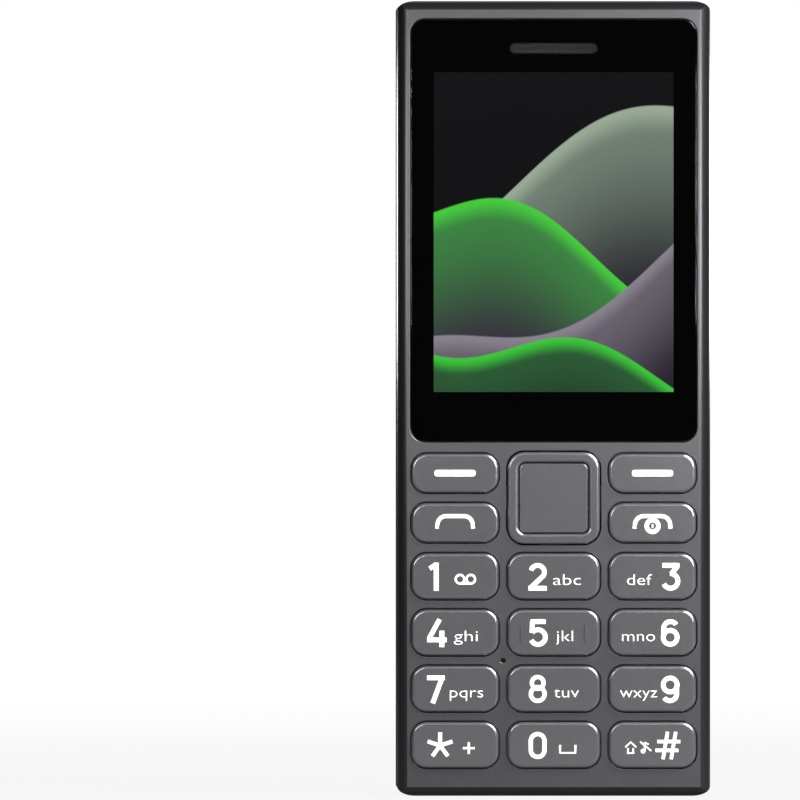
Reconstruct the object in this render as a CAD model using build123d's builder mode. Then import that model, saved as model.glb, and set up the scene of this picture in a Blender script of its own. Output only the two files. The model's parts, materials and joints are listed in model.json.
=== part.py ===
from build123d import *
import os

# A bar-shaped feature phone that stands on its bottom end, in millimetres.
# X runs to the right as its user sees it, Y runs from the front face to the back, and Z runs up.
# The origin is on the bottom end, under the middle of the phone.
# A depth is always a distance behind the flat front face.

# Whole phone
body_width = 48.4  # over the rim of the back cover
body_height = 122.0
body_depth = 13.0  # from the front face to the crown of the back
crown = 0.7  # how far the back curves away from its middle to its sides
corner_across = 3.0  # corner of the outline, across the phone
corner_along = 1.6  # the same corner, along the phone
back_round = 3.4  # rounding between the back and the sides
overrun = 2.0  # how far a cut runs past what it cuts
seat_gap = 0.1  # between pieces that lie on each other

# Front housing
housing_wall = 1.3
face_wall = 1.4
face_edge_across = 1.6  # curved edge between the face and a side
face_edge_deep = 2.0
end_edge_along = 1.45  # curved edge between the face and an end
end_edge_deep = 2.2
back_edge_along = 1.5  # curved edge between the back and an end
back_edge_deep = 2.4
crease_round = 0.12  # rounding of the crease round the face and of the edges of its openings
seam_margin = 1.04  # from the back of the USB socket to the seam
seam_gap = 0.3
seam_step = 0.2  # the cover's rim stands proud of the housing by this
cavity_corner = 1.0
boss_radius = 1.15
boss_hole_radius = 0.5
boss_hole_depth = 3.3
boss_gap = 0.25

# Display window
window_side_margin = 0.55  # from the edge of the flat face
window_bottom_margin = 1.85  # above the soft keys
window_corner = 2.2
window_thickness = 0.8
window_sink = 0.08  # below the face
window_gap = 0.15
window_top_margin = 3.1  # from the top of the phone
window_edge_round = 0.1

# Display module; the margins leave the picture of a 2.4 inch panel, 36.72 by 48.96
display_side_margin = 3.49  # from the side of the window
display_top_margin = 8.05  # from the top of the window
display_bottom_margin = 7.59  # from the bottom of the window
display_view_margin = 1.4  # bare border round the picture, inside the housing's opening
panel_side_border = 2.6
panel_thickness = 1.2
backlight_thickness = 0.8
tray_wall = 0.25
flex_width = 14.0
flex_length = 2.4
flex_thickness = 0.15
flex_gap = 0.34  # from the ribbon to the keypad mat

# Earpiece
slot_length = 13.0
slot_height = 1.2
slot_top_margin = 7.5  # from the top of the phone to the middle of the slot
slot_panel_drop = 1.85  # from the middle of the slot to the display panel
mesh_length = 15.0
mesh_height = 2.8
mesh_thickness = 0.15
mesh_pocket_depth = 0.2
mesh_gap = 0.05
mesh_hole_radius = 0.3
mesh_hole_pitch = 1.0
mesh_hole_count = 12
receiver_length = 12.0
receiver_height = 6.0
receiver_thickness = 2.4

# Keypad
key_proud = 0.6
key_corner = 2.3
key_edge_round = 0.45
key_gap = 0.2
key_flange = 0.4
key_flange_thickness = 0.5
key_lift_gap = 0.15
key_travel = 0.3
press_gap = 0.1  # what is left under a fully pressed key
plunger_radius = 1.0
plunger_gap = 0.5
key_wall_gap = 0.55  # from a flange to the housing's wall
middle_key_width = 14.1
column_gap = 1.4
soft_key_height = 5.95
soft_key_gap = 1.6  # above the call keys
call_key_height = 6.0
call_key_gap = 1.7  # above the top number row
number_key_height = 7.0
row_gap = 1.6
last_row_margin = 4.4  # from the bottom of the phone
mark_length = 2.5  # raised marks on the middle key
mark_width = 0.35
mark_height = 0.12
mark_spread = 9.8

# Navigation key
nav_overhang = 0.25  # past the soft keys above and the call keys below
nav_corner = 2.5
nav_back_depth = 2.2
nav_tab_width = 4.0
nav_tab_thickness = 0.4
ring_side_width = 1.85
ring_end_width = 1.75
pad_corner = 0.9
pad_sink = 0.3  # below the ring's front
pad_edge_round = 0.15
pad_gap = 0.2
pad_flange = 0.5
pad_flange_gap = 0.35
pad_flange_depth = 1.35
ring_step_depth = 0.9
pivot_side_inset = 0.45
pivot_end_inset = 0.55
pivot_corner = 2.0
pivot_depth = 2.55
pivot_thickness = 0.3
pivot_hole_radius = 1.6
pip_radius = 0.8
pip_length = 0.45
pip_spread = 5.2

# Under the keys
mat_depth = 2.65
mat_thickness = 0.4
mat_rim = 0.7
mat_side_gap = 0.35
mat_margin = 0.9  # past the keys above and below
film_thickness = 0.15
dome_radius = 2.0
dome_height = 0.4
dome_gap = 0.15
light_length = 1.6
light_width = 0.8
light_height = 0.4

# Main board
board_depth = 4.0
board_thickness = 1.0
board_gap = 0.35
board_end_gap = 0.7
can_side_margin = 3.1  # from the side of the board
can_height = 22.0
can_thickness = 1.5
can_sheet = 0.2
can_inner_edge = 5.6
can_rise = 2.5  # above the wall of the battery bay

# Microphone
mic_hole_radius = 0.38
mic_width = 3.0
mic_height = 2.2
mic_thickness = 0.95
boot_radius = 1.1
boot_bore_radius = 0.5

# Rear chassis
chassis_gap = 0.15
chassis_board_gap = 0.4
chassis_wall = 1.8
bay_side_wall = 5.25
upper_floor_gap = 0.4  # behind the shield cans
upper_floor_thickness = 1.0
lower_floor_gap = 0.19  # behind the USB socket
lower_floor_thickness = 0.8
pocket_edge = 2.2  # wall between the battery bay and the pockets above and below it

# Chassis screws
screw_radius = 0.45
screw_head_radius = 1.15
screw_head_height = 0.6
screw_seat_inset = 3.8  # from the crown of the back
screw_grip = 2.1  # length in the housing's boss
screw_slot_width = 0.3
screw_slot_depth = 0.3
screw_hole_gap = 0.15
screw_column_radius = 2.1
head_gap = 0.2
side_screw_inset = 2.0  # from the side of the chassis
top_screw_inset = 4.2
top_screw_drop = 3.05  # from the top of the chassis

# Battery
battery_corner = 1.5
battery_edge_round = 0.5
battery_bottom = 18.0
battery_disc_drop = 8.8  # from the camera ring to the battery's top
battery_floor_gap = 0.2
battery_gap = 0.3
battery_pad_width = 2.0
battery_pad_depth = 2.4
battery_pad_thickness = 0.15
contact_pitch = 3.0
contact_count = 3
contact_block_width = 10.0
contact_block_height = 2.6
contact_block_depth = 4.2
spring_width = 1.2
spring_length = 0.5
spring_thickness = 1.6

# Card holders
sim_side_gap = 1.8
sim_middle_gap = 1.8
sim_height = 12.4
holder_thickness = 1.3
holder_sheet = 0.2
holder_gap = 0.3
sim_place_share = 0.792  # of the battery's height
memory_width = 13.4
memory_height = 14.0
memory_place_share = 0.377

# Back cover
cover_wall = 1.0
cover_gap = 0.3
tab_width = 5.0
tab_thickness = 0.6
tab_reach = 1.45
tab_row_shares = (0.2, 0.5, 0.8)
notch_width = 9.0
notch_depth = 0.6
notch_across = 13.0

# Camera disc
disc_centre_margin = 29.6  # from the top of the phone
ring_radius = 12.6
ring_width = 1.15
ring_proud = 0.6
ring_seat = 0.5
ring_lip = 0.6
ring_lip_thickness = 0.2
ring_edge_round = 0.25
ring_gap = 0.05
disc_sink = 0.1
disc_thickness = 0.8
disc_gap = 0.05
bezel_radius = 3.55
bezel_gap = 0.05
bezel_thickness = 1.1
bezel_sink = 0.06
flash_rise = 5.7
flash_rim = 0.65
flash_floor = 0.45
flash_lens_radius = 2.135
flash_lens_sink = 0.12
camera_drop = 5.85
camera_rim = 1.1
camera_floor = 0.4
camera_iris_radius = 1.9
pinhole_radius = 0.3
pinhole_across = 9.2
pinhole_drop = 0.1

# Camera and flash inside
camera_size = 8.5
camera_bezel_gap = 1.04  # from the barrel to the bezel
camera_corner = 0.5
camera_gap = 0.3
barrel_radius = 2.9
barrel_height = 1.1
lens_radius = 1.75
lens_height = 0.45
lens_seat = 0.1
led_size = 3.2
led_height = 1.0
led_post_radius = 2.8
led_bezel_gap = 0.64

# Sockets
usb_width = 8.94
usb_height = 3.26
usb_wall = 0.3
usb_back_wall = 1.0
usb_length = 7.3
usb_recess = 0.5
usb_gap = 0.25
tongue_width = 6.69
tongue_thickness = 0.7
tongue_length = 4.8
jack_side_margin = 9.55  # from the side of the chassis to the middle of the jack
jack_tray_gap = 0.15
jack_width = 6.4
jack_thickness = 4.6
jack_length = 13.7
jack_nose_radius = 2.4
jack_nose_gap = 0.1
jack_recess = 0.2
jack_bore_radius = 1.8
jack_bore_length = 14.0
jack_gap = 0.2

# Sound and vibration
speaker_side_gap = 0.2
speaker_inset = 1.495  # from the middle of a screw column
speaker_height = 9.0
speaker_roof_gap = 0.35
speaker_bottom = 2.4
speaker_corner = 1.5
speaker_slot_width = 1.5
speaker_slot_height = 0.9
speaker_slot_pitch = 2.4
speaker_slot_count = 4
speaker_slot_depth = 6.7
motor_side_gap = 1.4
motor_thickness = 2.6
motor_centre = 8.0

# Antenna
antenna_height = 11.0
antenna_thickness = 0.2
antenna_side_gap = 0.6
antenna_jack_gap = 5.8
antenna_top_margin = 12.0  # from the top of the phone to its middle
antenna_inset = 2.7  # from the crown of the back
antenna_slot = 0.9
antenna_slot_count = 5
antenna_slot_length = 8.6

# The outside and the cavity, worked out from the sizes
front_reach = key_proud + mark_height
front_y = front_reach - (body_depth + front_reach + ring_proud) / 2
back_y = front_y + body_depth
housing_half = body_width / 2 - seam_step
housing_top = body_height - seam_step
face_half = housing_half - face_edge_across
cavity_half = housing_half - housing_wall
cavity_bottom = housing_wall
cavity_top = housing_top - housing_wall

# Depths of the layers
window_seat_depth = window_sink + window_thickness
panel_depth = face_wall + seat_gap
tray_back_depth = panel_depth + panel_thickness + backlight_thickness + tray_wall
key_flange_depth = face_wall + key_lift_gap
dome_top_depth = board_depth - dome_height
plunger_tip_depth = dome_top_depth - press_gap - key_travel
board_back_depth = board_depth + board_thickness
chassis_depth = board_back_depth + chassis_board_gap
boss_end_depth = chassis_depth - seat_gap
bay_floor_depth = board_back_depth + holder_thickness + seat_gap
battery_depth = bay_floor_depth + battery_floor_gap
battery_thickness = body_depth - crown - cover_wall - battery_depth
upper_floor_depth = board_back_depth + can_thickness + upper_floor_gap
upper_roof_depth = upper_floor_depth + upper_floor_thickness
usb_depth = board_back_depth + usb_height / 2
lower_floor_depth = board_back_depth + usb_height + lower_floor_gap
lower_roof_depth = lower_floor_depth + lower_floor_thickness
seam_depth = board_back_depth + usb_height + seam_margin
screw_seat_depth = body_depth - screw_seat_inset
screw_length = screw_seat_depth - boss_end_depth + screw_grip
jack_depth = tray_back_depth + jack_tray_gap + jack_thickness / 2
antenna_depth = body_depth - antenna_inset
ring_top_depth = body_depth + ring_proud
disc_top_depth = ring_top_depth - disc_sink
bezel_top_depth = disc_top_depth - bezel_sink
bezel_back_depth = bezel_top_depth - bezel_thickness
barrel_base_depth = bezel_back_depth - camera_bezel_gap - barrel_height
led_base_depth = bezel_back_depth - led_bezel_gap - led_height

# Places across the phone
outer_key_end = cavity_half - key_wall_gap - key_flange
outer_key_width = outer_key_end - column_gap - middle_key_width / 2
outer_column = outer_key_end - outer_key_width / 2
column_middle = (middle_key_width + column_gap) / 2
window_width = 2 * (face_half - window_side_margin)
display_width = window_width - 2 * display_side_margin
panel_width = display_width + 2 * panel_side_border
pad_width = middle_key_width - 2 * ring_side_width
pivot_width = middle_key_width - 2 * pivot_side_inset
mat_half = cavity_half - mat_side_gap
board_half = cavity_half - board_gap
can_width = board_half - can_side_margin - can_inner_edge
can_centre = can_inner_edge + can_width / 2
chassis_half = cavity_half - chassis_gap
pocket_half = chassis_half - chassis_wall
bay_half = chassis_half - bay_side_wall
battery_width = 2 * (bay_half - battery_gap)
sim_width = bay_half - sim_side_gap - sim_middle_gap / 2
sim_spread = sim_width + sim_middle_gap
side_screw_across = chassis_half - side_screw_inset
top_screw_across = chassis_half - top_screw_inset
jack_across = chassis_half - jack_side_margin
speaker_outer = pocket_half - speaker_side_gap
speaker_width = speaker_outer - column_middle - speaker_inset
speaker_across = speaker_outer - speaker_width / 2
motor_inner = column_middle + screw_column_radius
motor_radius = (pocket_half - motor_inner) / 2 - motor_side_gap
motor_across = (pocket_half + motor_inner) / 2
antenna_outer = pocket_half - antenna_side_gap
antenna_width = antenna_outer + jack_across - jack_width / 2 - antenna_jack_gap
antenna_across = antenna_width / 2 - antenna_outer
antenna_slot_pitch = (antenna_width - antenna_slot) / (antenna_slot_count + 1 / 2)
disc_radius = ring_radius - ring_width - disc_gap

# Rows of the keypad, from the bottom, and the crossings of its web between them
number_names = (
    ("key_star", "key_0", "key_hash"),
    ("key_7", "key_8", "key_9"),
    ("key_4", "key_5", "key_6"),
    ("key_1", "key_2", "key_3"),
)
row_pitch = number_key_height + row_gap
last_row_centre = last_row_margin + number_key_height / 2
number_rows = [last_row_centre + row * row_pitch for row in range(len(number_names))]
crossings = [height + row_pitch / 2 for height in number_rows]
call_key_bottom = number_rows[-1] + number_key_height / 2 + call_key_gap
call_key_centre = call_key_bottom + call_key_height / 2
soft_key_bottom = call_key_bottom + call_key_height + soft_key_gap
soft_key_centre = soft_key_bottom + soft_key_height / 2
soft_key_top = soft_key_bottom + soft_key_height
nav_centre = (call_key_bottom + soft_key_top) / 2
nav_height = soft_key_top - call_key_bottom + 2 * nav_overhang
pad_height = nav_height - 2 * ring_end_width
pivot_height = nav_height - 2 * pivot_end_inset
mat_bottom = last_row_margin - mat_margin
mat_top = soft_key_top + mat_margin
mat_centre = (mat_bottom + mat_top) / 2

# Places up the phone
window_bottom = soft_key_top + window_bottom_margin
window_top = body_height - window_top_margin
window_height = window_top - window_bottom
window_centre = (window_bottom + window_top) / 2
display_height = window_height - display_top_margin - display_bottom_margin
display_centre = window_bottom + display_bottom_margin + display_height / 2
slot_centre = body_height - slot_top_margin
panel_top = slot_centre - slot_panel_drop
panel_bottom = mat_top + flex_gap + flex_length + tray_wall
panel_centre = (panel_top + panel_bottom) / 2
panel_height = panel_top - panel_bottom
board_bottom = cavity_bottom + board_end_gap
board_top = cavity_top - board_end_gap
board_centre = (board_bottom + board_top) / 2
chassis_bottom = cavity_bottom + chassis_gap
chassis_top = cavity_top - chassis_gap
disc_centre = body_height - disc_centre_margin
flash_centre = disc_centre + flash_rise
camera_centre = disc_centre - camera_drop
battery_top = disc_centre - ring_radius - battery_disc_drop
battery_height = battery_top - battery_bottom
battery_centre = battery_bottom + battery_height / 2
bay_bottom = battery_bottom - battery_gap
bay_top = battery_top + battery_gap
upper_bottom = bay_top + pocket_edge
upper_top = chassis_top - chassis_wall
lower_bottom = chassis_bottom + chassis_wall
lower_top = bay_bottom - pocket_edge
can_bottom = upper_bottom + can_rise
side_screw_height = mat_top + boss_radius
top_screw_height = chassis_top - top_screw_drop
jack_top = cavity_top - jack_gap
speaker_centre = speaker_bottom + speaker_height / 2
antenna_centre = body_height - antenna_top_margin
sim_centre = battery_bottom + battery_height * sim_place_share
memory_centre = battery_bottom + battery_height * memory_place_share
tab_rows = [body_height * share for share in tab_row_shares]

# Each key's centre, width and height, and the places of what repeats
keys = {
    "key_soft_left": (-outer_column, soft_key_centre, outer_key_width, soft_key_height),
    "key_soft_right": (outer_column, soft_key_centre, outer_key_width, soft_key_height),
    "key_call": (-outer_column, call_key_centre, outer_key_width, call_key_height),
    "key_end": (outer_column, call_key_centre, outer_key_width, call_key_height),
}
for row_centre, names in zip(number_rows, number_names):
    keys[names[0]] = (-outer_column, row_centre, outer_key_width, number_key_height)
    keys[names[1]] = (0, row_centre, middle_key_width, number_key_height)
    keys[names[2]] = (outer_column, row_centre, outer_key_width, number_key_height)
key_centres = [(across, height) for across, height, _, _ in keys.values()]
pip_centres = [
    (-pip_spread, nav_centre),
    (pip_spread, nav_centre),
    (0, nav_centre - pip_spread),
    (0, nav_centre + pip_spread),
]
keypad_screws = [(-column_middle, crossings[0]), (column_middle, crossings[0])]
side_screws = [(-side_screw_across, side_screw_height), (side_screw_across, side_screw_height)]
top_screws = [(-top_screw_across, top_screw_height), (top_screw_across, top_screw_height)]
screw_centres = keypad_screws + side_screws + top_screws
mic_centre = (-column_middle, crossings[1])
light_centres = [
    (column_middle, crossings[1]),
    (-column_middle, crossings[2]),
    (column_middle, crossings[2]),
    (-column_middle, crossings[3]),
    (column_middle, crossings[3]),
]
memory_place = (0, memory_centre)
sim_places = [(-sim_spread / 2, sim_centre), (sim_spread / 2, sim_centre)]


def front_plane(depth):
    """The plane at this depth, seen from the front: a negative extrusion goes deeper."""
    return Plane.XZ.offset(-front_y - depth)


def save(part, name):
    """Labels a finished piece and writes its file."""
    part.label = name
    export_step(part, f"parts/{name}.step")


def outer_form(half_width, top):
    """The phone's outside as one block, of this half width and up to this height."""
    with BuildPart() as form:
        with BuildSketch(Plane.XY) as section:
            with BuildLine():
                edge_y = front_y + face_edge_deep
                flat_half = half_width - face_edge_across
                face = Line((-flat_half, front_y), (flat_half, front_y))
                TangentArc((half_width, edge_y), face @ 1, tangent=(0, -1))
                right = Line((half_width, edge_y), (half_width, back_y - crown))
                rear = ThreePointArc(right @ 1, (0, back_y), (-half_width, back_y - crown))
                left = Line(rear @ 1, (-half_width, edge_y))
                TangentArc(left @ 1, face @ 0, tangent=(0, -1))
            make_face()
            fillet(section.vertices().group_by(Axis.Y)[-1], radius=back_round)
        extrude(amount=body_height)
        with BuildSketch(Plane.YZ.offset(-half_width - overrun)):
            with BuildLine():
                face = Line((front_y, end_edge_along), (front_y, top - end_edge_along))
                TangentArc((front_y + end_edge_deep, top), face @ 1, tangent=(-1, 0))
                upper = Line((front_y + end_edge_deep, top), (back_y - back_edge_deep, top))
                TangentArc(upper @ 1, (back_y, top - back_edge_along), tangent=(1, 0))
                rear = Line((back_y, top - back_edge_along), (back_y, back_edge_along))
                TangentArc((back_y - back_edge_deep, 0), rear @ 1, tangent=(1, 0))
                lower = Line((back_y - back_edge_deep, 0), (front_y + end_edge_deep, 0))
                TangentArc(lower @ 1, face @ 0, tangent=(-1, 0))
            make_face()
        extrude(amount=2 * (half_width + overrun), mode=Mode.INTERSECT)
        with BuildSketch(Plane.XZ.offset(-back_y - overrun)):
            with BuildLine():
                bend_x = half_width - corner_across
                bend_top = top - corner_along
                Line((-bend_x, 0), (bend_x, 0))
                EllipticalCenterArc((bend_x, corner_along), corner_across, corner_along, 270, arc_size=90)
                Line((half_width, corner_along), (half_width, bend_top))
                EllipticalCenterArc((bend_x, bend_top), corner_across, corner_along, 0, arc_size=90)
                Line((bend_x, top), (-bend_x, top))
                EllipticalCenterArc((-bend_x, bend_top), corner_across, corner_along, 90, arc_size=90)
                Line((-half_width, bend_top), (-half_width, corner_along))
                EllipticalCenterArc((-bend_x, corner_along), corner_across, corner_along, 180, arc_size=90)
            make_face()
        extrude(amount=body_depth + 2 * overrun, mode=Mode.INTERSECT)
    return form.part


def inner_form(inset, half_width, bottom, top, depth):
    """A block behind this depth that follows the curved back from inside, at this inset."""
    with BuildPart() as form:
        with BuildSketch(Plane.XY.offset(bottom)) as section:
            with BuildLine():
                side_y = back_y - crown - inset
                face = Line((-half_width, front_y + depth), (half_width, front_y + depth))
                right = Line(face @ 1, (half_width, side_y))
                rear = ThreePointArc(right @ 1, (0, back_y - inset), (-half_width, side_y))
                Line(rear @ 1, face @ 0)
            make_face()
            fillet(section.vertices().group_by(Axis.Y)[-1], radius=back_round - inset)
        extrude(amount=top - bottom)
        with BuildSketch(front_plane(depth)):
            with Locations((0, (bottom + top) / 2)):
                RectangleRounded(2 * half_width, top - bottom, cavity_corner)
        extrude(amount=-body_depth, mode=Mode.INTERSECT)
    return form.part


# Front housing, a shell with the window's recess, the key web, the sockets' holes and the screw bosses
housing_cavity_height = cavity_top - cavity_bottom
with BuildPart() as front_housing:
    add(outer_form(housing_half, housing_top))
    with BuildSketch(front_plane(seam_depth - seam_gap / 2)):
        with Locations((0, body_height / 2)):
            Rectangle(body_width + 2 * overrun, body_height + 2 * overrun)
    extrude(amount=-body_depth, mode=Mode.SUBTRACT)
    with BuildSketch(front_plane(face_wall)):
        with Locations((0, (cavity_bottom + cavity_top) / 2)):
            RectangleRounded(2 * cavity_half, housing_cavity_height, cavity_corner)
    extrude(amount=-body_depth, mode=Mode.SUBTRACT)
    with BuildSketch(front_plane(face_wall)):
        with Locations(*screw_centres):
            Circle(boss_radius)
    extrude(amount=face_wall - boss_end_depth)
    with BuildSketch(front_plane(boss_end_depth)):
        with Locations(*screw_centres):
            Circle(boss_hole_radius)
    extrude(amount=boss_hole_depth, mode=Mode.SUBTRACT)
    with BuildSketch(front_plane(-overrun)):
        with Locations((0, window_centre)):
            RectangleRounded(
                window_width + 2 * window_gap, window_height + 2 * window_gap, window_corner + window_gap
            )
    extrude(amount=-overrun - window_seat_depth, mode=Mode.SUBTRACT)
    with BuildSketch(front_plane(-overrun)):
        with Locations((0, display_centre)):
            Rectangle(display_width + 2 * display_view_margin, display_height + 2 * display_view_margin)
        with Locations((0, slot_centre)):
            SlotOverall(slot_length, slot_height)
        with Locations((0, nav_centre)):
            RectangleRounded(middle_key_width + 2 * key_gap, nav_height + 2 * key_gap, nav_corner + key_gap)
        with Locations(mic_centre):
            Circle(mic_hole_radius)
        for across, height, width, tall in keys.values():
            with Locations((across, height)):
                RectangleRounded(width + 2 * key_gap, tall + 2 * key_gap, key_corner + key_gap)
    extrude(amount=-overrun - face_wall, mode=Mode.SUBTRACT)
    fillet(front_housing.faces().sort_by(Axis.Y)[0].edges(), radius=crease_round)
    with BuildSketch(front_plane(window_seat_depth)):
        with Locations((0, slot_centre)):
            Rectangle(mesh_length + 2 * mesh_gap, mesh_height + 2 * mesh_gap)
    extrude(amount=-mesh_pocket_depth, mode=Mode.SUBTRACT)
    with BuildSketch(Plane.XY.offset(-overrun)):
        with Locations((0, front_y + usb_depth)):
            RectangleRounded(usb_width + 2 * usb_gap, usb_height + 2 * usb_gap, usb_height / 2)
        with Locations((speaker_across, front_y + speaker_slot_depth)):
            with GridLocations(speaker_slot_pitch, 0, speaker_slot_count, 1):
                SlotOverall(speaker_slot_width, speaker_slot_height)
    extrude(amount=overrun + housing_wall, mode=Mode.SUBTRACT)
    with BuildSketch(Plane.XY.offset(cavity_top)):
        with Locations((jack_across, front_y + jack_depth)):
            Circle(jack_nose_radius + jack_nose_gap)
    extrude(amount=overrun + housing_wall, mode=Mode.SUBTRACT)
save(front_housing.part, "front_housing")

# Display window, the glass over the display
with BuildPart() as display_window:
    with BuildSketch(front_plane(window_sink)):
        with Locations((0, window_centre)):
            RectangleRounded(window_width, window_height, window_corner)
    extrude(amount=-window_thickness)
    fillet(display_window.faces().sort_by(Axis.Y)[0].edges(), radius=window_edge_round)
    with BuildSketch(front_plane(0)):
        with Locations((0, slot_centre)):
            SlotOverall(slot_length, slot_height)
    extrude(amount=-window_seat_depth, mode=Mode.SUBTRACT)
save(display_window.part, "display_window")

# Earpiece mesh, in its pocket under the window
with BuildPart() as earpiece_mesh:
    with BuildSketch(front_plane(window_seat_depth + mesh_gap)):
        with Locations((0, slot_centre)):
            Rectangle(mesh_length, mesh_height)
            with GridLocations(mesh_hole_pitch, 0, mesh_hole_count, 1):
                Circle(mesh_hole_radius, mode=Mode.SUBTRACT)
    extrude(amount=-mesh_thickness)
save(earpiece_mesh.part, "earpiece_mesh")

# Earpiece receiver, the small loudspeaker behind the slot
with BuildPart() as earpiece_receiver:
    with BuildSketch(front_plane(face_wall + seat_gap)):
        with Locations((0, panel_top + 2 * tray_wall + receiver_height / 2)):
            RectangleRounded(receiver_length, receiver_height, speaker_corner)
    extrude(amount=-receiver_thickness)
save(earpiece_receiver.part, "earpiece_receiver")

# Display panel, backlight and the metal tray that holds them
with BuildPart() as display_panel:
    with BuildSketch(front_plane(panel_depth)):
        with Locations((0, panel_centre)):
            Rectangle(panel_width, panel_height)
    extrude(amount=-panel_thickness)
save(display_panel.part, "display_panel")

with BuildPart() as display_backlight:
    with BuildSketch(front_plane(panel_depth + panel_thickness)):
        with Locations((0, panel_centre)):
            Rectangle(panel_width, panel_height)
    extrude(amount=-backlight_thickness)
save(display_backlight.part, "display_backlight")

with BuildPart() as display_tray:
    with BuildSketch(front_plane(tray_back_depth)):
        with Locations((0, panel_centre)):
            Rectangle(panel_width + 2 * tray_wall, panel_height + 2 * tray_wall)
    extrude(amount=tray_back_depth - panel_depth)
    with BuildSketch(front_plane(panel_depth)):
        with Locations((0, panel_centre)):
            Rectangle(panel_width, panel_height)
    extrude(amount=-panel_thickness - backlight_thickness, mode=Mode.SUBTRACT)
save(display_tray.part, "display_tray")

# Display flex, the ribbon that lies on the board below the tray
with BuildPart() as display_flex:
    with BuildSketch(front_plane(board_depth)):
        with Locations((0, panel_bottom - tray_wall - flex_length / 2)):
            Rectangle(flex_width, flex_length)
    extrude(amount=flex_thickness)
save(display_flex.part, "display_flex")


def key_cap(across, height, width, tall):
    """A cap that stands through the housing, with its flange behind the face and its plunger."""
    with BuildPart() as cap:
        with BuildSketch(front_plane(-key_proud)):
            with Locations((across, height)):
                RectangleRounded(width, tall, key_corner)
        extrude(amount=-key_proud - key_flange_depth)
        fillet(cap.faces().sort_by(Axis.Y)[0].edges(), radius=key_edge_round)
        with BuildSketch(front_plane(key_flange_depth)):
            with Locations((across, height)):
                RectangleRounded(width + 2 * key_flange, tall + 2 * key_flange, key_corner + key_flange)
        extrude(amount=-key_flange_thickness)
        with BuildSketch(front_plane(plunger_tip_depth)):
            with Locations((across, height)):
                Circle(plunger_radius)
        extrude(amount=plunger_tip_depth - key_flange_depth)
    return cap.part


# Key caps; the middle one has two raised marks to find it by touch
for key_name, (across, height, width, tall) in keys.items():
    if key_name == "key_5":
        with BuildPart() as marked_cap:
            add(key_cap(across, height, width, tall))
            with BuildSketch(front_plane(-key_proud)):
                with Locations((across, height)):
                    with GridLocations(mark_spread, 0, 2, 1):
                        SlotOverall(mark_length, mark_width, rotation=90)
            extrude(amount=mark_height)
        save(marked_cap.part, key_name)
    else:
        save(key_cap(across, height, width, tall), key_name)

# Navigation ring, with a hollow behind for the pad's flange and a tab on each side
with BuildPart() as nav_ring:
    with BuildSketch(front_plane(-key_proud)):
        with Locations((0, nav_centre)):
            RectangleRounded(middle_key_width, nav_height, nav_corner)
    extrude(amount=-key_proud - nav_back_depth)
    with BuildSketch(front_plane(nav_back_depth)):
        with Locations((0, nav_centre)):
            Rectangle(middle_key_width + 2 * key_flange, nav_tab_width)
            Rectangle(nav_tab_width, nav_height + 2 * key_flange)
    extrude(amount=nav_tab_thickness)
    with BuildSketch(front_plane(-key_proud)):
        with Locations((0, nav_centre)):
            RectangleRounded(pad_width + 2 * pad_gap, pad_height + 2 * pad_gap, pad_corner + pad_gap)
    extrude(amount=-key_proud - nav_back_depth, mode=Mode.SUBTRACT)
    fillet(nav_ring.faces().sort_by(Axis.Y)[0].edges(), radius=key_edge_round)
    with BuildSketch(front_plane(ring_step_depth)):
        with Locations((0, nav_centre)):
            RectangleRounded(
                pad_width + 2 * (pad_flange + pad_flange_gap),
                pad_height + 2 * (pad_flange + pad_flange_gap),
                pad_corner + pad_gap,
            )
    extrude(amount=ring_step_depth - nav_back_depth, mode=Mode.SUBTRACT)
save(nav_ring.part, "nav_ring")

# Select pad inside the navigation ring
with BuildPart() as nav_select:
    with BuildSketch(front_plane(pad_sink - key_proud)):
        with Locations((0, nav_centre)):
            RectangleRounded(pad_width, pad_height, pad_corner)
    extrude(amount=pad_sink - key_proud - pad_flange_depth)
    fillet(nav_select.faces().sort_by(Axis.Y)[0].edges(), radius=pad_edge_round)
    with BuildSketch(front_plane(pad_flange_depth)):
        with Locations((0, nav_centre)):
            RectangleRounded(pad_width + 2 * pad_flange, pad_height + 2 * pad_flange, pad_corner)
    extrude(amount=-nav_tab_thickness)
    with BuildSketch(front_plane(plunger_tip_depth)):
        with Locations((0, nav_centre)):
            Circle(plunger_radius)
    extrude(amount=plunger_tip_depth - pad_flange_depth)
save(nav_select.part, "nav_select")

# Pivot web under the ring, with a pip over each of its four domes
with BuildPart() as nav_pivot_web:
    with BuildSketch(front_plane(pivot_depth)):
        with Locations((0, nav_centre)):
            RectangleRounded(pivot_width, pivot_height, pivot_corner)
            Circle(pivot_hole_radius, mode=Mode.SUBTRACT)
    extrude(amount=-pivot_thickness)
    with BuildSketch(front_plane(pivot_depth + pivot_thickness)):
        with Locations(*pip_centres):
            Circle(pip_radius)
    extrude(amount=-pip_length)
save(nav_pivot_web.part, "nav_pivot_web")

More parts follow.
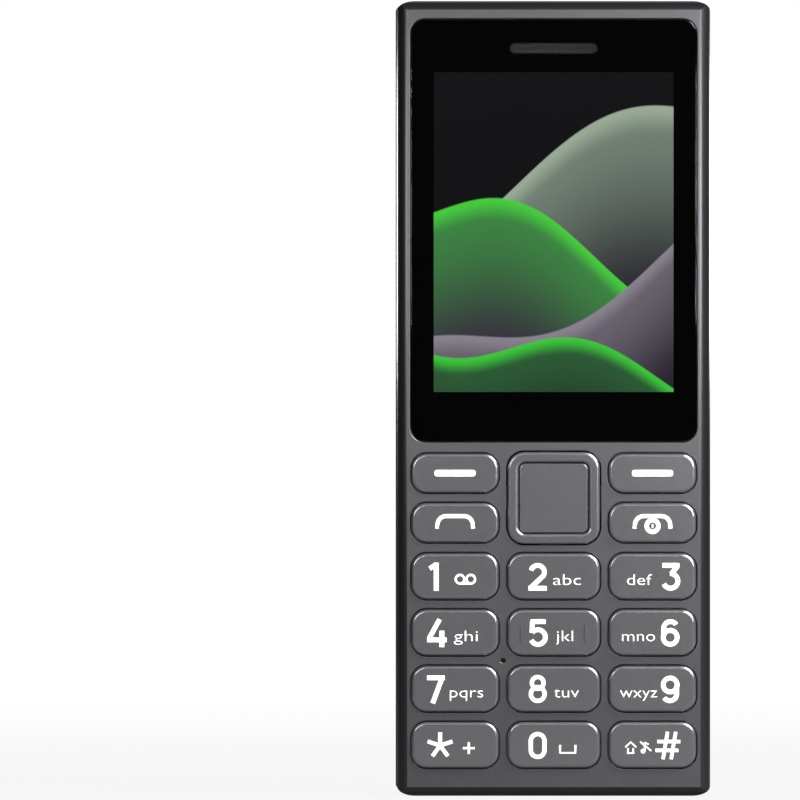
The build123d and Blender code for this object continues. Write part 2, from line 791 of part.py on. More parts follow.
# Keypad mat, a silicone sheet with a rim that stands on the dome film
with BuildPart() as keypad_mat:
    with BuildSketch(front_plane(mat_depth)):
        with Locations((0, mat_centre)):
            Rectangle(2 * mat_half, mat_top - mat_bottom)
    extrude(amount=mat_depth + film_thickness - board_depth)
    with BuildSketch(front_plane(mat_depth + mat_thickness)):
        with Locations((0, mat_centre)):
            Rectangle(2 * (mat_half - mat_rim), mat_top - mat_bottom - 2 * mat_rim)
    extrude(amount=mat_depth - board_depth, mode=Mode.SUBTRACT)
    with BuildSketch(front_plane(mat_depth)):
        with Locations(*key_centres):
            Circle(plunger_radius + plunger_gap)
        with Locations(*keypad_screws):
            Circle(boss_radius + boss_gap)
        with Locations(mic_centre):
            Circle(boot_radius + boss_gap)
        with Locations((0, nav_centre)):
            Rectangle(pivot_width + 2 * plunger_gap, pivot_height + 2 * plunger_gap)
    extrude(amount=-mat_thickness, mode=Mode.SUBTRACT)
save(keypad_mat.part, "keypad_mat")

# Dome film on the board, open over each dome, light and the microphone
with BuildPart() as dome_film:
    with BuildSketch(front_plane(board_depth)):
        with Locations((0, mat_centre)):
            Rectangle(2 * mat_half, mat_top - mat_bottom)
        with Locations(*key_centres, *pip_centres, (0, nav_centre)):
            Circle(dome_radius + dome_gap, mode=Mode.SUBTRACT)
        with Locations(*keypad_screws):
            Circle(boss_radius + boss_gap, mode=Mode.SUBTRACT)
        with Locations(*light_centres):
            Rectangle(light_length + 2 * dome_gap, light_width + 2 * dome_gap, mode=Mode.SUBTRACT)
        with Locations(mic_centre):
            Rectangle(mic_width + 2 * dome_gap, mic_height + 2 * dome_gap, mode=Mode.SUBTRACT)
    extrude(amount=film_thickness)
save(dome_film.part, "dome_film")

# Metal domes, one under each key, each side of the ring and the pad
with BuildPart() as metal_domes:
    with BuildSketch(front_plane(board_depth)):
        with Locations(*key_centres, *pip_centres, (0, nav_centre)):
            Circle(dome_radius)
    extrude(amount=dome_height, taper=45)
save(metal_domes.part, "metal_domes")

# Keypad lights at the crossings of the web
with BuildPart() as keypad_lights:
    with BuildSketch(front_plane(board_depth)):
        with Locations(*light_centres):
            Rectangle(light_length, light_width)
    extrude(amount=light_height)
save(keypad_lights.part, "keypad_lights")

# Microphone on the board, and the rubber boot that leads to its hole
mic_front_depth = board_depth - mic_thickness
with BuildPart() as microphone:
    with BuildSketch(front_plane(mic_front_depth)):
        with Locations(mic_centre):
            Rectangle(mic_width, mic_height)
    extrude(amount=-mic_thickness)
    with BuildSketch(front_plane(mic_front_depth)):
        with Locations(mic_centre):
            Circle(mic_hole_radius)
    extrude(amount=-mic_thickness / 2, mode=Mode.SUBTRACT)
save(microphone.part, "microphone")

with BuildPart() as microphone_boot:
    with BuildSketch(front_plane(face_wall)):
        with Locations(mic_centre):
            Circle(boot_radius)
            Circle(boot_bore_radius, mode=Mode.SUBTRACT)
    extrude(amount=face_wall - mic_front_depth)
save(microphone_boot.part, "microphone_boot")

# Main board, with a notch for the audio jack and holes for the screw bosses
with BuildPart() as main_board:
    with BuildSketch(front_plane(board_depth)):
        with Locations((0, board_centre)):
            RectangleRounded(2 * board_half, board_top - board_bottom, cavity_corner)
        with Locations(*screw_centres):
            Circle(boss_radius + boss_gap, mode=Mode.SUBTRACT)
        with Locations((jack_across, board_top)):
            Rectangle(
                jack_width + 2 * jack_gap,
                2 * (board_top - jack_top + jack_length + jack_gap),
                mode=Mode.SUBTRACT,
            )
    extrude(amount=-board_thickness)
save(main_board.part, "main_board")


def shield_can(centre_x):
    """A thin sheet-metal can over parts of the board, open towards it."""
    with BuildPart() as can:
        with BuildSketch(front_plane(board_back_depth)):
            with Locations((centre_x, can_bottom + can_height / 2)):
                Rectangle(can_width, can_height)
        extrude(amount=-can_thickness)
        with BuildSketch(front_plane(board_back_depth)):
            with Locations((centre_x, can_bottom + can_height / 2)):
                Rectangle(can_width - 2 * can_sheet, can_height - 2 * can_sheet)
        extrude(amount=can_sheet - can_thickness, mode=Mode.SUBTRACT)
    return can.part


# Shield cans on both sides of the camera
save(shield_can(-can_centre), "shield_can_processor")
save(shield_can(can_centre), "shield_can_radio")

# Rear chassis, a tray behind the board with the battery bay and a pocket above and below it
chassis_cover_inset = cover_wall + cover_gap
tab_outer = cavity_half - cover_gap
tab_inner = tab_outer - tab_thickness
tab_front_depth = seam_depth - tab_reach
with BuildPart() as rear_chassis:
    add(inner_form(chassis_cover_inset, chassis_half, chassis_bottom, chassis_top, chassis_depth))
    with BuildSketch(front_plane(body_depth)):
        with Locations((0, battery_centre)):
            RectangleRounded(2 * bay_half, bay_top - bay_bottom, battery_corner)
    extrude(amount=body_depth - bay_floor_depth, mode=Mode.SUBTRACT)
    with BuildSketch(front_plane(body_depth)):
        with Locations((0, (upper_bottom + upper_top) / 2)):
            RectangleRounded(2 * pocket_half, upper_top - upper_bottom, cavity_corner)
    extrude(amount=body_depth - upper_roof_depth, mode=Mode.SUBTRACT)
    with BuildSketch(front_plane(body_depth)):
        with Locations((0, (lower_bottom + lower_top) / 2)):
            RectangleRounded(2 * pocket_half, lower_top - lower_bottom, cavity_corner)
    extrude(amount=body_depth - lower_roof_depth, mode=Mode.SUBTRACT)
    with BuildSketch(front_plane(chassis_depth)):
        with Locations((0, (upper_bottom + upper_top) / 2)):
            Rectangle(2 * pocket_half, upper_top - upper_bottom)
    extrude(amount=chassis_depth - upper_floor_depth, mode=Mode.SUBTRACT)
    with BuildSketch(front_plane(chassis_depth)):
        with Locations((0, lower_top / 2)):
            Rectangle(2 * pocket_half, lower_top)
    extrude(amount=chassis_depth - lower_floor_depth, mode=Mode.SUBTRACT)
    with BuildSketch(front_plane(chassis_depth)):
        with Locations(*sim_places):
            Rectangle(sim_width + 2 * holder_gap, sim_height + 2 * holder_gap)
        with Locations(memory_place):
            Rectangle(memory_width + 2 * holder_gap, memory_height + 2 * holder_gap)
        with Locations((0, camera_centre)):
            Rectangle(camera_size + 2 * camera_gap, camera_size + 2 * camera_gap)
        with Locations((0, bay_top + (contact_block_height + holder_gap) / 2)):
            Rectangle(contact_block_width + 2 * holder_gap, contact_block_height + holder_gap)
    extrude(amount=-body_depth, mode=Mode.SUBTRACT)
    with BuildSketch(front_plane(upper_roof_depth)):
        with Locations((0, flash_centre)):
            Circle(led_post_radius)
    extrude(amount=upper_roof_depth - led_base_depth)
    with BuildSketch(front_plane(upper_roof_depth)):
        with Locations((antenna_across, antenna_centre)):
            Rectangle(antenna_width, antenna_height)
    extrude(amount=upper_roof_depth - antenna_depth)
    with BuildSketch(front_plane(chassis_depth)):
        with Locations(*keypad_screws, *top_screws):
            Circle(screw_column_radius)
    extrude(amount=chassis_depth - screw_seat_depth)
    with BuildSketch(front_plane(chassis_depth)):
        with Locations((jack_across, jack_top - jack_length / 2)):
            Rectangle(jack_width + 2 * jack_gap, jack_length + 2 * jack_gap)
    extrude(amount=chassis_depth - jack_depth - jack_thickness / 2 - jack_gap, mode=Mode.SUBTRACT)
    with BuildSketch(front_plane(screw_seat_depth)):
        with Locations(*screw_centres):
            Circle(screw_head_radius + head_gap)
    extrude(amount=screw_seat_depth - body_depth, mode=Mode.SUBTRACT)
    with BuildSketch(front_plane(chassis_depth)):
        with Locations(*screw_centres):
            Circle(screw_radius + screw_hole_gap)
    extrude(amount=-body_depth, mode=Mode.SUBTRACT)
    with BuildSketch(front_plane(tab_front_depth - cover_gap)):
        for row_height in tab_rows:
            for side in (-1, 1):
                with Locations((side * (tab_inner - cover_gap + chassis_wall), row_height)):
                    Rectangle(2 * chassis_wall, tab_width + 2 * cover_gap)
    extrude(amount=-body_depth, mode=Mode.SUBTRACT)
save(rear_chassis.part, "rear_chassis")

# Chassis screws, driven from behind into the housing's bosses
with BuildPart() as chassis_screws:
    with BuildSketch(front_plane(screw_seat_depth)):
        with Locations(*screw_centres):
            Circle(screw_head_radius)
    extrude(amount=-screw_head_height)
    with BuildSketch(front_plane(screw_seat_depth)):
        with Locations(*screw_centres):
            Circle(screw_radius)
    extrude(amount=screw_length)
    with BuildSketch(front_plane(screw_seat_depth + screw_head_height)):
        with Locations(*screw_centres):
            Rectangle(screw_head_radius, screw_slot_width)
            Rectangle(screw_slot_width, screw_head_radius)
    extrude(amount=screw_slot_depth, mode=Mode.SUBTRACT)
save(chassis_screws.part, "chassis_screws")

# Battery with its contact pads on the top end
with BuildPart() as battery:
    with BuildSketch(front_plane(battery_depth)):
        with Locations((0, battery_centre)):
            RectangleRounded(battery_width, battery_height, battery_corner)
    extrude(amount=-battery_thickness)
    fillet(battery.faces().sort_by(Axis.Y)[-1].edges(), radius=battery_edge_round)
    fillet(battery.faces().sort_by(Axis.Y)[0].edges(), radius=battery_edge_round)
    with BuildSketch(Plane.XY.offset(battery_top)):
        with Locations((0, front_y + battery_depth + battery_thickness / 2)):
            with GridLocations(contact_pitch, 0, contact_count, 1):
                Rectangle(battery_pad_width, battery_pad_depth)
    extrude(amount=-battery_pad_thickness, mode=Mode.SUBTRACT)
save(battery.part, "battery")

with BuildPart() as battery_pads:
    with BuildSketch(Plane.XY.offset(battery_top)):
        with Locations((0, front_y + battery_depth + battery_thickness / 2)):
            with GridLocations(contact_pitch, 0, contact_count, 1):
                Rectangle(battery_pad_width, battery_pad_depth)
    extrude(amount=-battery_pad_thickness)
save(battery_pads.part, "battery_pads")

# Battery contact block on the board, and its three springs towards the battery
contact_block_bottom = battery_top + seat_gap
with BuildPart() as battery_contacts:
    with BuildSketch(front_plane(board_back_depth)):
        with Locations((0, contact_block_bottom + spring_length / 2 + contact_block_height / 2)):
            Rectangle(contact_block_width, contact_block_height - spring_length)
    extrude(amount=-contact_block_depth)
save(battery_contacts.part, "battery_contacts")

with BuildPart() as battery_springs:
    with BuildSketch(Plane.XY.offset(contact_block_bottom + spring_length)):
        with Locations((0, front_y + battery_depth + battery_thickness / 2 - spring_thickness / 4)):
            with GridLocations(contact_pitch, 0, contact_count, 1):
                Rectangle(spring_width, spring_thickness / 2)
    extrude(amount=-spring_length)
save(battery_springs.part, "battery_springs")


def card_holder(places, width, tall):
    """Flat sheet-metal cages on the board's back, each open at its lower end for the card."""
    with BuildPart() as holder:
        with BuildSketch(front_plane(board_back_depth)):
            with Locations(*places):
                Rectangle(width, tall)
        extrude(amount=-holder_thickness)
        with BuildSketch(front_plane(board_back_depth + holder_sheet)):
            with Locations(*[(across, height - holder_sheet) for across, height in places]):
                Rectangle(width - 2 * holder_sheet, tall)
        extrude(amount=2 * holder_sheet - holder_thickness, mode=Mode.SUBTRACT)
    return holder.part


# Card holders under the battery
save(card_holder(sim_places, sim_width, sim_height), "sim_holders")
save(card_holder([memory_place], memory_width, memory_height), "memory_card_holder")

# Back cover, with the camera disc's seat and the tabs that snap in behind the housing's rim
with BuildPart() as back_cover:
    add(outer_form(body_width / 2, body_height))
    with BuildSketch(front_plane(seam_depth + seam_gap / 2)):
        with Locations((0, body_height / 2)):
            Rectangle(body_width + 2 * overrun, body_height + 2 * overrun)
    extrude(amount=body_depth, mode=Mode.SUBTRACT)
    add(
        inner_form(
            cover_wall, body_width / 2 - cover_wall, cover_wall, body_height - cover_wall, chassis_depth
        ),
        mode=Mode.SUBTRACT,
    )
    with BuildSketch(front_plane(body_depth + overrun)):
        with Locations((0, disc_centre)):
            Circle(ring_radius + ring_gap)
    extrude(amount=overrun + ring_seat, mode=Mode.SUBTRACT)
    with BuildSketch(front_plane(body_depth)):
        with Locations((0, disc_centre)):
            Circle(disc_radius - ring_lip)
    extrude(amount=cover_wall + overrun, mode=Mode.SUBTRACT)
    with BuildSketch(front_plane(tab_front_depth)):
        for row_height in tab_rows:
            for side in (-1, 1):
                with Locations((side * (tab_inner + tab_outer) / 2, row_height)):
                    Rectangle(tab_thickness, tab_width)
    extrude(amount=-tab_reach - cover_wall)
    with BuildSketch(front_plane(seam_depth + seam_gap / 2)):
        for row_height in tab_rows:
            for side in (-1, 1):
                with Locations((side * (tab_inner + housing_half - tab_thickness) / 2, row_height)):
                    Rectangle(housing_half - tab_thickness - tab_inner, tab_width)
    extrude(amount=seam_gap / 2 - cover_wall)
    with BuildSketch(Plane.XY.offset(-overrun)):
        with Locations((-notch_across, front_y + seam_depth)):
            Rectangle(notch_width, 2 * notch_depth)
    extrude(amount=overrun + notch_depth, mode=Mode.SUBTRACT)
save(back_cover.part, "back_cover")

# Camera ring, the proud metal trim, with a lip that the disc rests on
ring_inner = ring_radius - ring_width
with BuildPart() as camera_ring:
    with BuildSketch(front_plane(body_depth - ring_seat)):
        with Locations((0, disc_centre)):
            Circle(ring_radius)
            Circle(ring_inner, mode=Mode.SUBTRACT)
    extrude(amount=-ring_seat - ring_proud)
    ring_edges = camera_ring.edges().filter_by(GeomType.CIRCLE).group_by(Axis.Y)[-1]
    fillet(ring_edges, radius=ring_edge_round)
    with BuildSketch(front_plane(body_depth - ring_seat)):
        with Locations((0, disc_centre)):
            Circle(ring_radius - ring_width / 2)
            Circle(disc_radius - ring_lip, mode=Mode.SUBTRACT)
    extrude(amount=-ring_lip_thickness)
save(camera_ring.part, "camera_ring")

# Camera window, the black glass disc, open for the flash and the camera
with BuildPart() as camera_window:
    with BuildSketch(front_plane(disc_top_depth)):
        with Locations((0, disc_centre)):
            Circle(disc_radius)
        with Locations((0, flash_centre), (0, camera_centre)):
            Circle(bezel_radius + bezel_gap, mode=Mode.SUBTRACT)
    extrude(amount=disc_thickness)
    with BuildSketch(front_plane(disc_top_depth)):
        with Locations((0, disc_centre - pinhole_drop)):
            with GridLocations(2 * pinhole_across, 0, 2, 1):
                Circle(pinhole_radius)
    extrude(amount=disc_thickness / 2, mode=Mode.SUBTRACT)
save(camera_window.part, "camera_window")


def bezel(centre_z, rim, floor, hole_radius):
    """A round cup in the disc, with this rim and floor, and a hole through the floor."""
    with BuildPart() as cup:
        with BuildSketch(front_plane(bezel_top_depth)):
            with Locations((0, centre_z)):
                Circle(bezel_radius)
        extrude(amount=bezel_thickness)
        with BuildSketch(front_plane(bezel_top_depth)):
            with Locations((0, centre_z)):
                Circle(bezel_radius - rim)
        extrude(amount=bezel_thickness - floor, mode=Mode.SUBTRACT)
        with BuildSketch(front_plane(bezel_top_depth)):
            with Locations((0, centre_z)):
                Circle(hole_radius)
        extrude(amount=bezel_thickness, mode=Mode.SUBTRACT)
    return cup.part


# Bezels of the flash and the camera, and the lens that sits in the flash bezel
save(bezel(flash_centre, flash_rim, flash_floor, flash_lens_radius / 2), "flash_bezel")
save(bezel(camera_centre, camera_rim, camera_floor, camera_iris_radius), "camera_bezel")

with BuildPart() as flash_lens:
    with BuildSketch(front_plane(bezel_back_depth + flash_floor)):
        with Locations((0, flash_centre)):
            Circle(flash_lens_radius)
    extrude(amount=flash_floor + flash_lens_sink - bezel_thickness)
save(flash_lens.part, "flash_lens")

# Camera module on the board, and the lens at the end of its barrel
with BuildPart() as camera_module:
    with BuildSketch(front_plane(board_back_depth)):
        with Locations((0, camera_centre)):
            RectangleRounded(camera_size, camera_size, camera_corner)
    extrude(amount=board_back_depth - barrel_base_depth)
    with BuildSketch(front_plane(barrel_base_depth)):
        with Locations((0, camera_centre)):
            Circle(barrel_radius)
    extrude(amount=-barrel_height)
    with BuildSketch(front_plane(barrel_base_depth + barrel_height)):
        with Locations((0, camera_centre)):
            Circle(lens_radius)
    extrude(amount=lens_seat, mode=Mode.SUBTRACT)
save(camera_module.part, "camera_module")

with BuildPart() as camera_lens:
    with BuildSketch(front_plane(barrel_base_depth + barrel_height - lens_seat)):
        with Locations((0, camera_centre)):
            Circle(lens_radius)
    extrude(amount=-lens_height)
    fillet(camera_lens.edges().filter_by(GeomType.CIRCLE).group_by(Axis.Y)[-1], radius=lens_seat)
save(camera_lens.part, "camera_lens")

# Flash light on its post
with BuildPart() as flash_light:
    with BuildSketch(front_plane(led_base_depth)):
        with Locations((0, flash_centre)):
            Rectangle(led_size, led_size)
    extrude(amount=-led_height)
save(flash_light.part, "flash_light")

# USB socket, a rounded shell closed at its inner end, and its tongue
with BuildPart() as usb_socket:
    with BuildSketch(Plane.XY.offset(usb_recess)):
        with Locations((0, front_y + usb_depth)):
            SlotOverall(usb_width, usb_height)
    extrude(amount=usb_length)
    with BuildSketch(Plane.XY.offset(usb_recess)):
        with Locations((0, front_y + usb_depth)):
            SlotOverall(usb_width - 2 * usb_wall, usb_height - 2 * usb_wall)
    extrude(amount=usb_length - usb_back_wall, mode=Mode.SUBTRACT)
save(usb_socket.part, "usb_socket")

with BuildPart() as usb_tongue:
    with BuildSketch(Plane.XY.offset(usb_recess + usb_length - usb_back_wall)):
        with Locations((0, front_y + usb_depth)):
            Rectangle(tongue_width, tongue_thickness)
    extrude(amount=-tongue_length)
save(usb_tongue.part, "usb_tongue")

# Audio jack, a block with a round nose in the top wall and the plug's bore
jack_nose_top = housing_top - jack_recess
with BuildPart() as audio_jack:
    with BuildSketch(Plane.XY.offset(jack_top - jack_length)):
        with Locations((jack_across, front_y + jack_depth)):
            Rectangle(jack_width, jack_thickness)
    extrude(amount=jack_length)
    with BuildSketch(Plane.XY.offset(jack_nose_top)):
        with Locations((jack_across, front_y + jack_depth)):
            Circle(jack_nose_radius)
    extrude(amount=jack_top - jack_nose_top)
    with BuildSketch(Plane.XY.offset(jack_nose_top)):
        with Locations((jack_across, front_y + jack_depth)):
            Circle(jack_bore_radius)
    extrude(amount=-jack_bore_length, mode=Mode.SUBTRACT)
save(audio_jack.part, "audio_jack")

# Loudspeaker behind the slots of the bottom end
with BuildPart() as loudspeaker:
    with BuildSketch(front_plane(board_back_depth + seat_gap)):
        with Locations((speaker_across, speaker_centre)):
            RectangleRounded(speaker_width, speaker_height, speaker_corner)
    extrude(amount=board_back_depth + seat_gap + speaker_roof_gap - lower_floor_depth)
save(loudspeaker.part, "loudspeaker")

# Vibration motor, a flat round one
with BuildPart() as vibration_motor:
    with BuildSketch(front_plane(board_back_depth + seat_gap)):
        with Locations((-motor_across, motor_centre)):
            Circle(motor_radius)
    extrude(amount=-motor_thickness)
save(vibration_motor.part, "vibration_motor")

# Antenna, a stamped sheet on its plinth, slotted from alternate edges
with BuildPart() as antenna:
    with BuildSketch(front_plane(antenna_depth)):
        with Locations((antenna_across, antenna_centre)):
            Rectangle(antenna_width, antenna_height)
        for slot in range(antenna_slot_count):
            offset_x = (slot - (antenna_slot_count - 1) / 2) * antenna_slot_pitch
            edge_shift = (antenna_height - antenna_slot_length) / 2 * (1 if slot % 2 else -1)
            with Locations((antenna_across + offset_x, antenna_centre + edge_shift)):
                Rectangle(antenna_slot, antenna_slot_length, mode=Mode.SUBTRACT)
    extrude(amount=-antenna_thickness)
save(antenna.part, "antenna")
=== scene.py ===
import json
import math

import bmesh
import bpy
from mathutils import Matrix, Vector


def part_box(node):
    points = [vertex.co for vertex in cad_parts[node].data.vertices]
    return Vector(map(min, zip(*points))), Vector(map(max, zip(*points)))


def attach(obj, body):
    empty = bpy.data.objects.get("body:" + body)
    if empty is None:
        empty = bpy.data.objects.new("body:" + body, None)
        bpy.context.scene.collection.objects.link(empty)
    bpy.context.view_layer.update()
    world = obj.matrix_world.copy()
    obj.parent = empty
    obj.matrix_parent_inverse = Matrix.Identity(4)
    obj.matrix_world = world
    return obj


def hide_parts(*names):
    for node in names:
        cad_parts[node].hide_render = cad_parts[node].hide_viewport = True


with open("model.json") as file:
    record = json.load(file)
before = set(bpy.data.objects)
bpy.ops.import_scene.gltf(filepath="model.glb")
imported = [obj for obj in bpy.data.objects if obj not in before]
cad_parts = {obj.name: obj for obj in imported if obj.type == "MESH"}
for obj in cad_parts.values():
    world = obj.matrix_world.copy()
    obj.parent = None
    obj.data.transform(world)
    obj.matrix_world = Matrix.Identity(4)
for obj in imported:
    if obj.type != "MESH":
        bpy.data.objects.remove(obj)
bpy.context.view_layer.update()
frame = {"nodes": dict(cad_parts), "record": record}

# A bar-shaped feature phone that stands on its bottom end and is seen from the front.
# Places are in metres; sizes are written in millimetres times MM.
MM = 0.001
nodes = frame["nodes"]
scene = bpy.context.scene


def depth(distance):
    """The y of this distance behind the flat front face."""
    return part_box("front_housing")[0][1] + distance


def middle(name):
    """The middle of a node's box."""
    low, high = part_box(name)
    return [(a + b) / 2 for a, b in zip(low, high)]


def linear(code):
    """An sRGB hex colour as linear red, green, blue and alpha."""
    shares = [int(code[place:place + 2], 16) / 255 for place in (0, 2, 4)]
    return [s / 12.92 if s <= 0.04045 else ((s + 0.055) / 1.055) ** 2.4 for s in shares] + [1.0]


def node(tree, kind, inputs=None, **settings):
    """Adds a node with its settings; each input is a value or the socket that feeds it."""
    made = tree.nodes.new(kind)
    for name, value in settings.items():
        setattr(made, name, value)
    for key, value in (inputs or {}).items():
        if isinstance(value, bpy.types.NodeSocket):
            tree.links.new(value, made.inputs[key])
        else:
            made.inputs[key].default_value = value
    return made


def new_material(name, colour, **sockets):
    """A material with a Principled shader, its tree, its shader and object coordinates."""
    material = bpy.data.materials.new(name)
    material.use_nodes = True
    tree = material.node_tree
    shader = tree.nodes["Principled BSDF"]
    shader.inputs["Base Color"].default_value = linear(colour)
    for key, value in sockets.items():
        shader.inputs[key.replace("_", " ")].default_value = value
    place = node(tree, "ShaderNodeTexCoord").outputs["Object"]
    return material, tree, shader, place


# Patterns

def relief(tree, shader, noise, colours, rough, height):
    """Two colours, a range of roughness and a bump of this height, all from one noise."""
    tone = node(tree, "ShaderNodeMix", {0: noise, 6: linear(colours[0]), 7: linear(colours[1])},
                data_type="RGBA")
    gloss = node(tree, "ShaderNodeMapRange", {0: noise, 1: 0.3, 2: 0.7, 3: rough[0], 4: rough[1]})
    bump = node(tree, "ShaderNodeBump", {"Height": noise, "Distance": height, "Strength": 1.0})
    tree.links.new(tone.outputs[2], shader.inputs["Base Color"])
    tree.links.new(gloss.outputs[0], shader.inputs["Roughness"])
    tree.links.new(bump.outputs[0], shader.inputs["Normal"])
    return tone.outputs[2]


def grain(tree, shader, place, size, colours, rough, height):
    """Fine grain of this size in colour, roughness and height."""
    noise = node(tree, "ShaderNodeTexNoise", {"Vector": place, "Scale": 1 / size, "Detail": 3.0})
    return relief(tree, shader, noise.outputs[0], colours, rough, height)


def flecks(tree, shader, place, size, colours, detail=2.0):
    """Flecks of this size in two close colours."""
    noise = node(tree, "ShaderNodeTexNoise", {"Vector": place, "Scale": 1 / size, "Detail": detail})
    tone = node(tree, "ShaderNodeMix", {0: noise.outputs[0], 6: linear(colours[0]), 7: linear(colours[1])},
                data_type="RGBA")
    tree.links.new(tone.outputs[2], shader.inputs["Base Color"])


def smudges(tree, shader, place, size, detail, reach, rough):
    """Marks of this size on a smooth surface: a little rougher where the noise goes through this reach."""
    noise = node(tree, "ShaderNodeTexNoise", {"Vector": place, "Scale": 1 / size, "Detail": detail})
    gloss = node(tree, "ShaderNodeMapRange", {0: noise.outputs[0], 1: reach[0], 2: reach[1],
                                              3: rough[0], 4: rough[1]})
    tree.links.new(gloss.outputs[0], shader.inputs["Roughness"])


def lay(tree, shader, share, colour, rough, metallic):
    """Lays another finish over the shader's own where the share is 1."""
    for name, value in (("Base Color", linear(colour)), ("Roughness", rough), ("Metallic", metallic)):
        socket = shader.inputs[name]
        under = socket.links[0].from_socket if socket.links else socket.default_value
        kind, places = ("RGBA", (6, 7, 2)) if name == "Base Color" else ("FLOAT", (2, 3, 0))
        mix = node(tree, "ShaderNodeMix", {0: share, places[0]: under, places[1]: value}, data_type=kind)
        tree.links.new(mix.outputs[places[2]], socket)


# Materials

# The flat front face inside its frame, which is painted darker as shade, and where the paint ends
face_half = 22.4 * MM
face_bottom = 1.45 * MM
face_top = 120.35 * MM
# Where the paint ends the ABS is bare and near black. This is also painted shade: it darkens the gaps round
# the keys and the cover's edge at the seam
shell_depth = 0.18 * MM  # behind the face, from where the walls of its openings are bare
shell_inset = 0.12 * MM  # inside the frame, from where they are bare
seam_depth = 9.49 * MM  # behind the face, up to where the cover's edge and tabs are bare
paint_blend = 0.08 * MM
bare_abs_and_painted_shade = ("101011", 0.6, 0.0)


def graphite_paint(name, colours, rough):
    """Metallic paint sprayed over ABS: a satin sheen, faintly clouded, with a little sparkle. Real flakes
    are about 0.03 mm across, too fine to show, so they are drawn at 0.22 mm."""
    material, tree, shader, place = new_material(name, colours[0], Metallic=0.9)
    tone = grain(tree, shader, place, 0.22 * MM, colours, rough, 0.002 * MM)
    cloud = node(tree, "ShaderNodeTexNoise", {"Vector": place, "Scale": 1 / (14 * MM), "Detail": 2.0})
    shade = node(tree, "ShaderNodeMapRange", {0: cloud.outputs[0], 1: 0.3, 2: 0.7, 3: 0.95, 4: 1.05})
    shaded = node(tree, "ShaderNodeVectorMath", {0: tone, "Scale": shade.outputs[0]}, operation="SCALE")
    tree.links.new(shaded.outputs[0], shader.inputs["Base Color"])
    return material, tree, shader, place


def housing_paint():
    """Graphite paint, smoother on the frame round the face, where a darker colour is painted shade; inside
    the shell the ABS is bare, which also darkens the walls of the key wells as painted shade.
    """
    material, tree, shader, place = graphite_paint("graphite_paint", ("68686b", "727275"), (0.34, 0.40))
    parts = node(tree, "ShaderNodeSeparateXYZ", {0: place})
    # How far a point lies outside the flat face, seen from the front
    across = node(tree, "ShaderNodeMath", {0: parts.outputs[0]}, operation="ABSOLUTE")
    side = node(tree, "ShaderNodeMath", {0: across.outputs[0], 1: face_half}, operation="SUBTRACT")
    above = node(tree, "ShaderNodeMath", {0: parts.outputs[2], 1: face_top}, operation="SUBTRACT")
    below = node(tree, "ShaderNodeMath", {0: face_bottom, 1: parts.outputs[2]}, operation="SUBTRACT")
    ends = node(tree, "ShaderNodeMath", {0: above.outputs[0], 1: below.outputs[0]}, operation="MAXIMUM")
    outside = node(tree, "ShaderNodeMath", {0: side.outputs[0], 1: ends.outputs[0]}, operation="MAXIMUM")
    frame_painted_shade = node(tree, "ShaderNodeMapRange", {0: outside.outputs[0], 1: 0.0, 2: paint_blend})
    # The frame's darker colour is painted shade on the rounded edge; its lower roughness is the finish
    lay(tree, shader, frame_painted_shade.outputs[0], "4c4c4f", 0.28, 0.9)
    # Bare ABS inside the shell, also painted shade that darkens the walls of the key wells
    behind = node(tree, "ShaderNodeMapRange", {0: parts.outputs[1], 1: depth(shell_depth),
                                               2: depth(shell_depth + paint_blend)})
    within = node(tree, "ShaderNodeMapRange", {0: outside.outputs[0], 1: -shell_inset,
                                               2: paint_blend - shell_inset, 3: 1.0, 4: 0.0})
    bare = node(tree, "ShaderNodeMath", {0: behind.outputs[0], 1: within.outputs[0]}, operation="MULTIPLY")
    lay(tree, shader, bare.outputs[0], *bare_abs_and_painted_shade)
    return material


def cover_paint():
    """The same paint in a paler, glossier coat; the cover's edge at the seam and its tabs are bare ABS, near
    black, which on the edge is also painted shade that keeps it from catching light.
    """
    material, tree, shader, place = graphite_paint("pearl_graphite_paint", ("8a8a8c", "949496"), (0.28, 0.34))
    parts = node(tree, "ShaderNodeSeparateXYZ", {0: place})
    # Bare ABS on the cover's tabs, and near black as painted shade on its edge at the seam
    bare = node(tree, "ShaderNodeMapRange", {0: parts.outputs[1], 1: depth(seam_depth),
                                             2: depth(seam_depth + paint_blend), 3: 1.0, 4: 0.0})
    lay(tree, shader, bare.outputs[0], *bare_abs_and_painted_shade)
    return material


def key_paint():
    """Key caps of PC in metallic grey paint under a thin clear coat, worn smooth: even, with a soft gloss
    and bright edges. The paint's grain is far finer than the 0.4 mm that it is drawn at."""
    material, tree, shader, place = new_material(
        "key_paint", "949396", Metallic=0.85, IOR=1.5, Coat_Weight=0.4, Coat_Roughness=0.14)
    grain(tree, shader, place, 0.4 * MM, ("929194", "969598"), (0.23, 0.27), 0.0004 * MM)
    return material


def window_glass():
    """Tempered cover glass: clear and smooth, over a black print and the display, with faint finger marks."""
    material, tree, shader, place = new_material("cover_glass", "ffffff", Roughness=0.0, IOR=1.5,
                                                 Transmission_Weight=1.0)
    smudges(tree, shader, place, 9 * MM, 4.0, (0.55, 0.8), (0.0, 0.04))
    return material


def black_print():
    """Screen-printed black ink behind glass: dead black and matt."""
    material, tree, shader, place = new_material("black_ink", "040405", Specular_IOR_Level=0.0)
    grain(tree, shader, place, 0.1 * MM, ("020203", "040405"), (0.5, 0.6), 0.0)
    return material


def disc_glass():
    """Black glass of the camera disc: polished, with the print right under its surface."""
    material, tree, shader, place = new_material("camera_disc_glass", "0a0a0b", IOR=1.5)
    smudges(tree, shader, place, 5 * MM, 3.0, (0.4, 0.8), (0.04, 0.1))
    return material


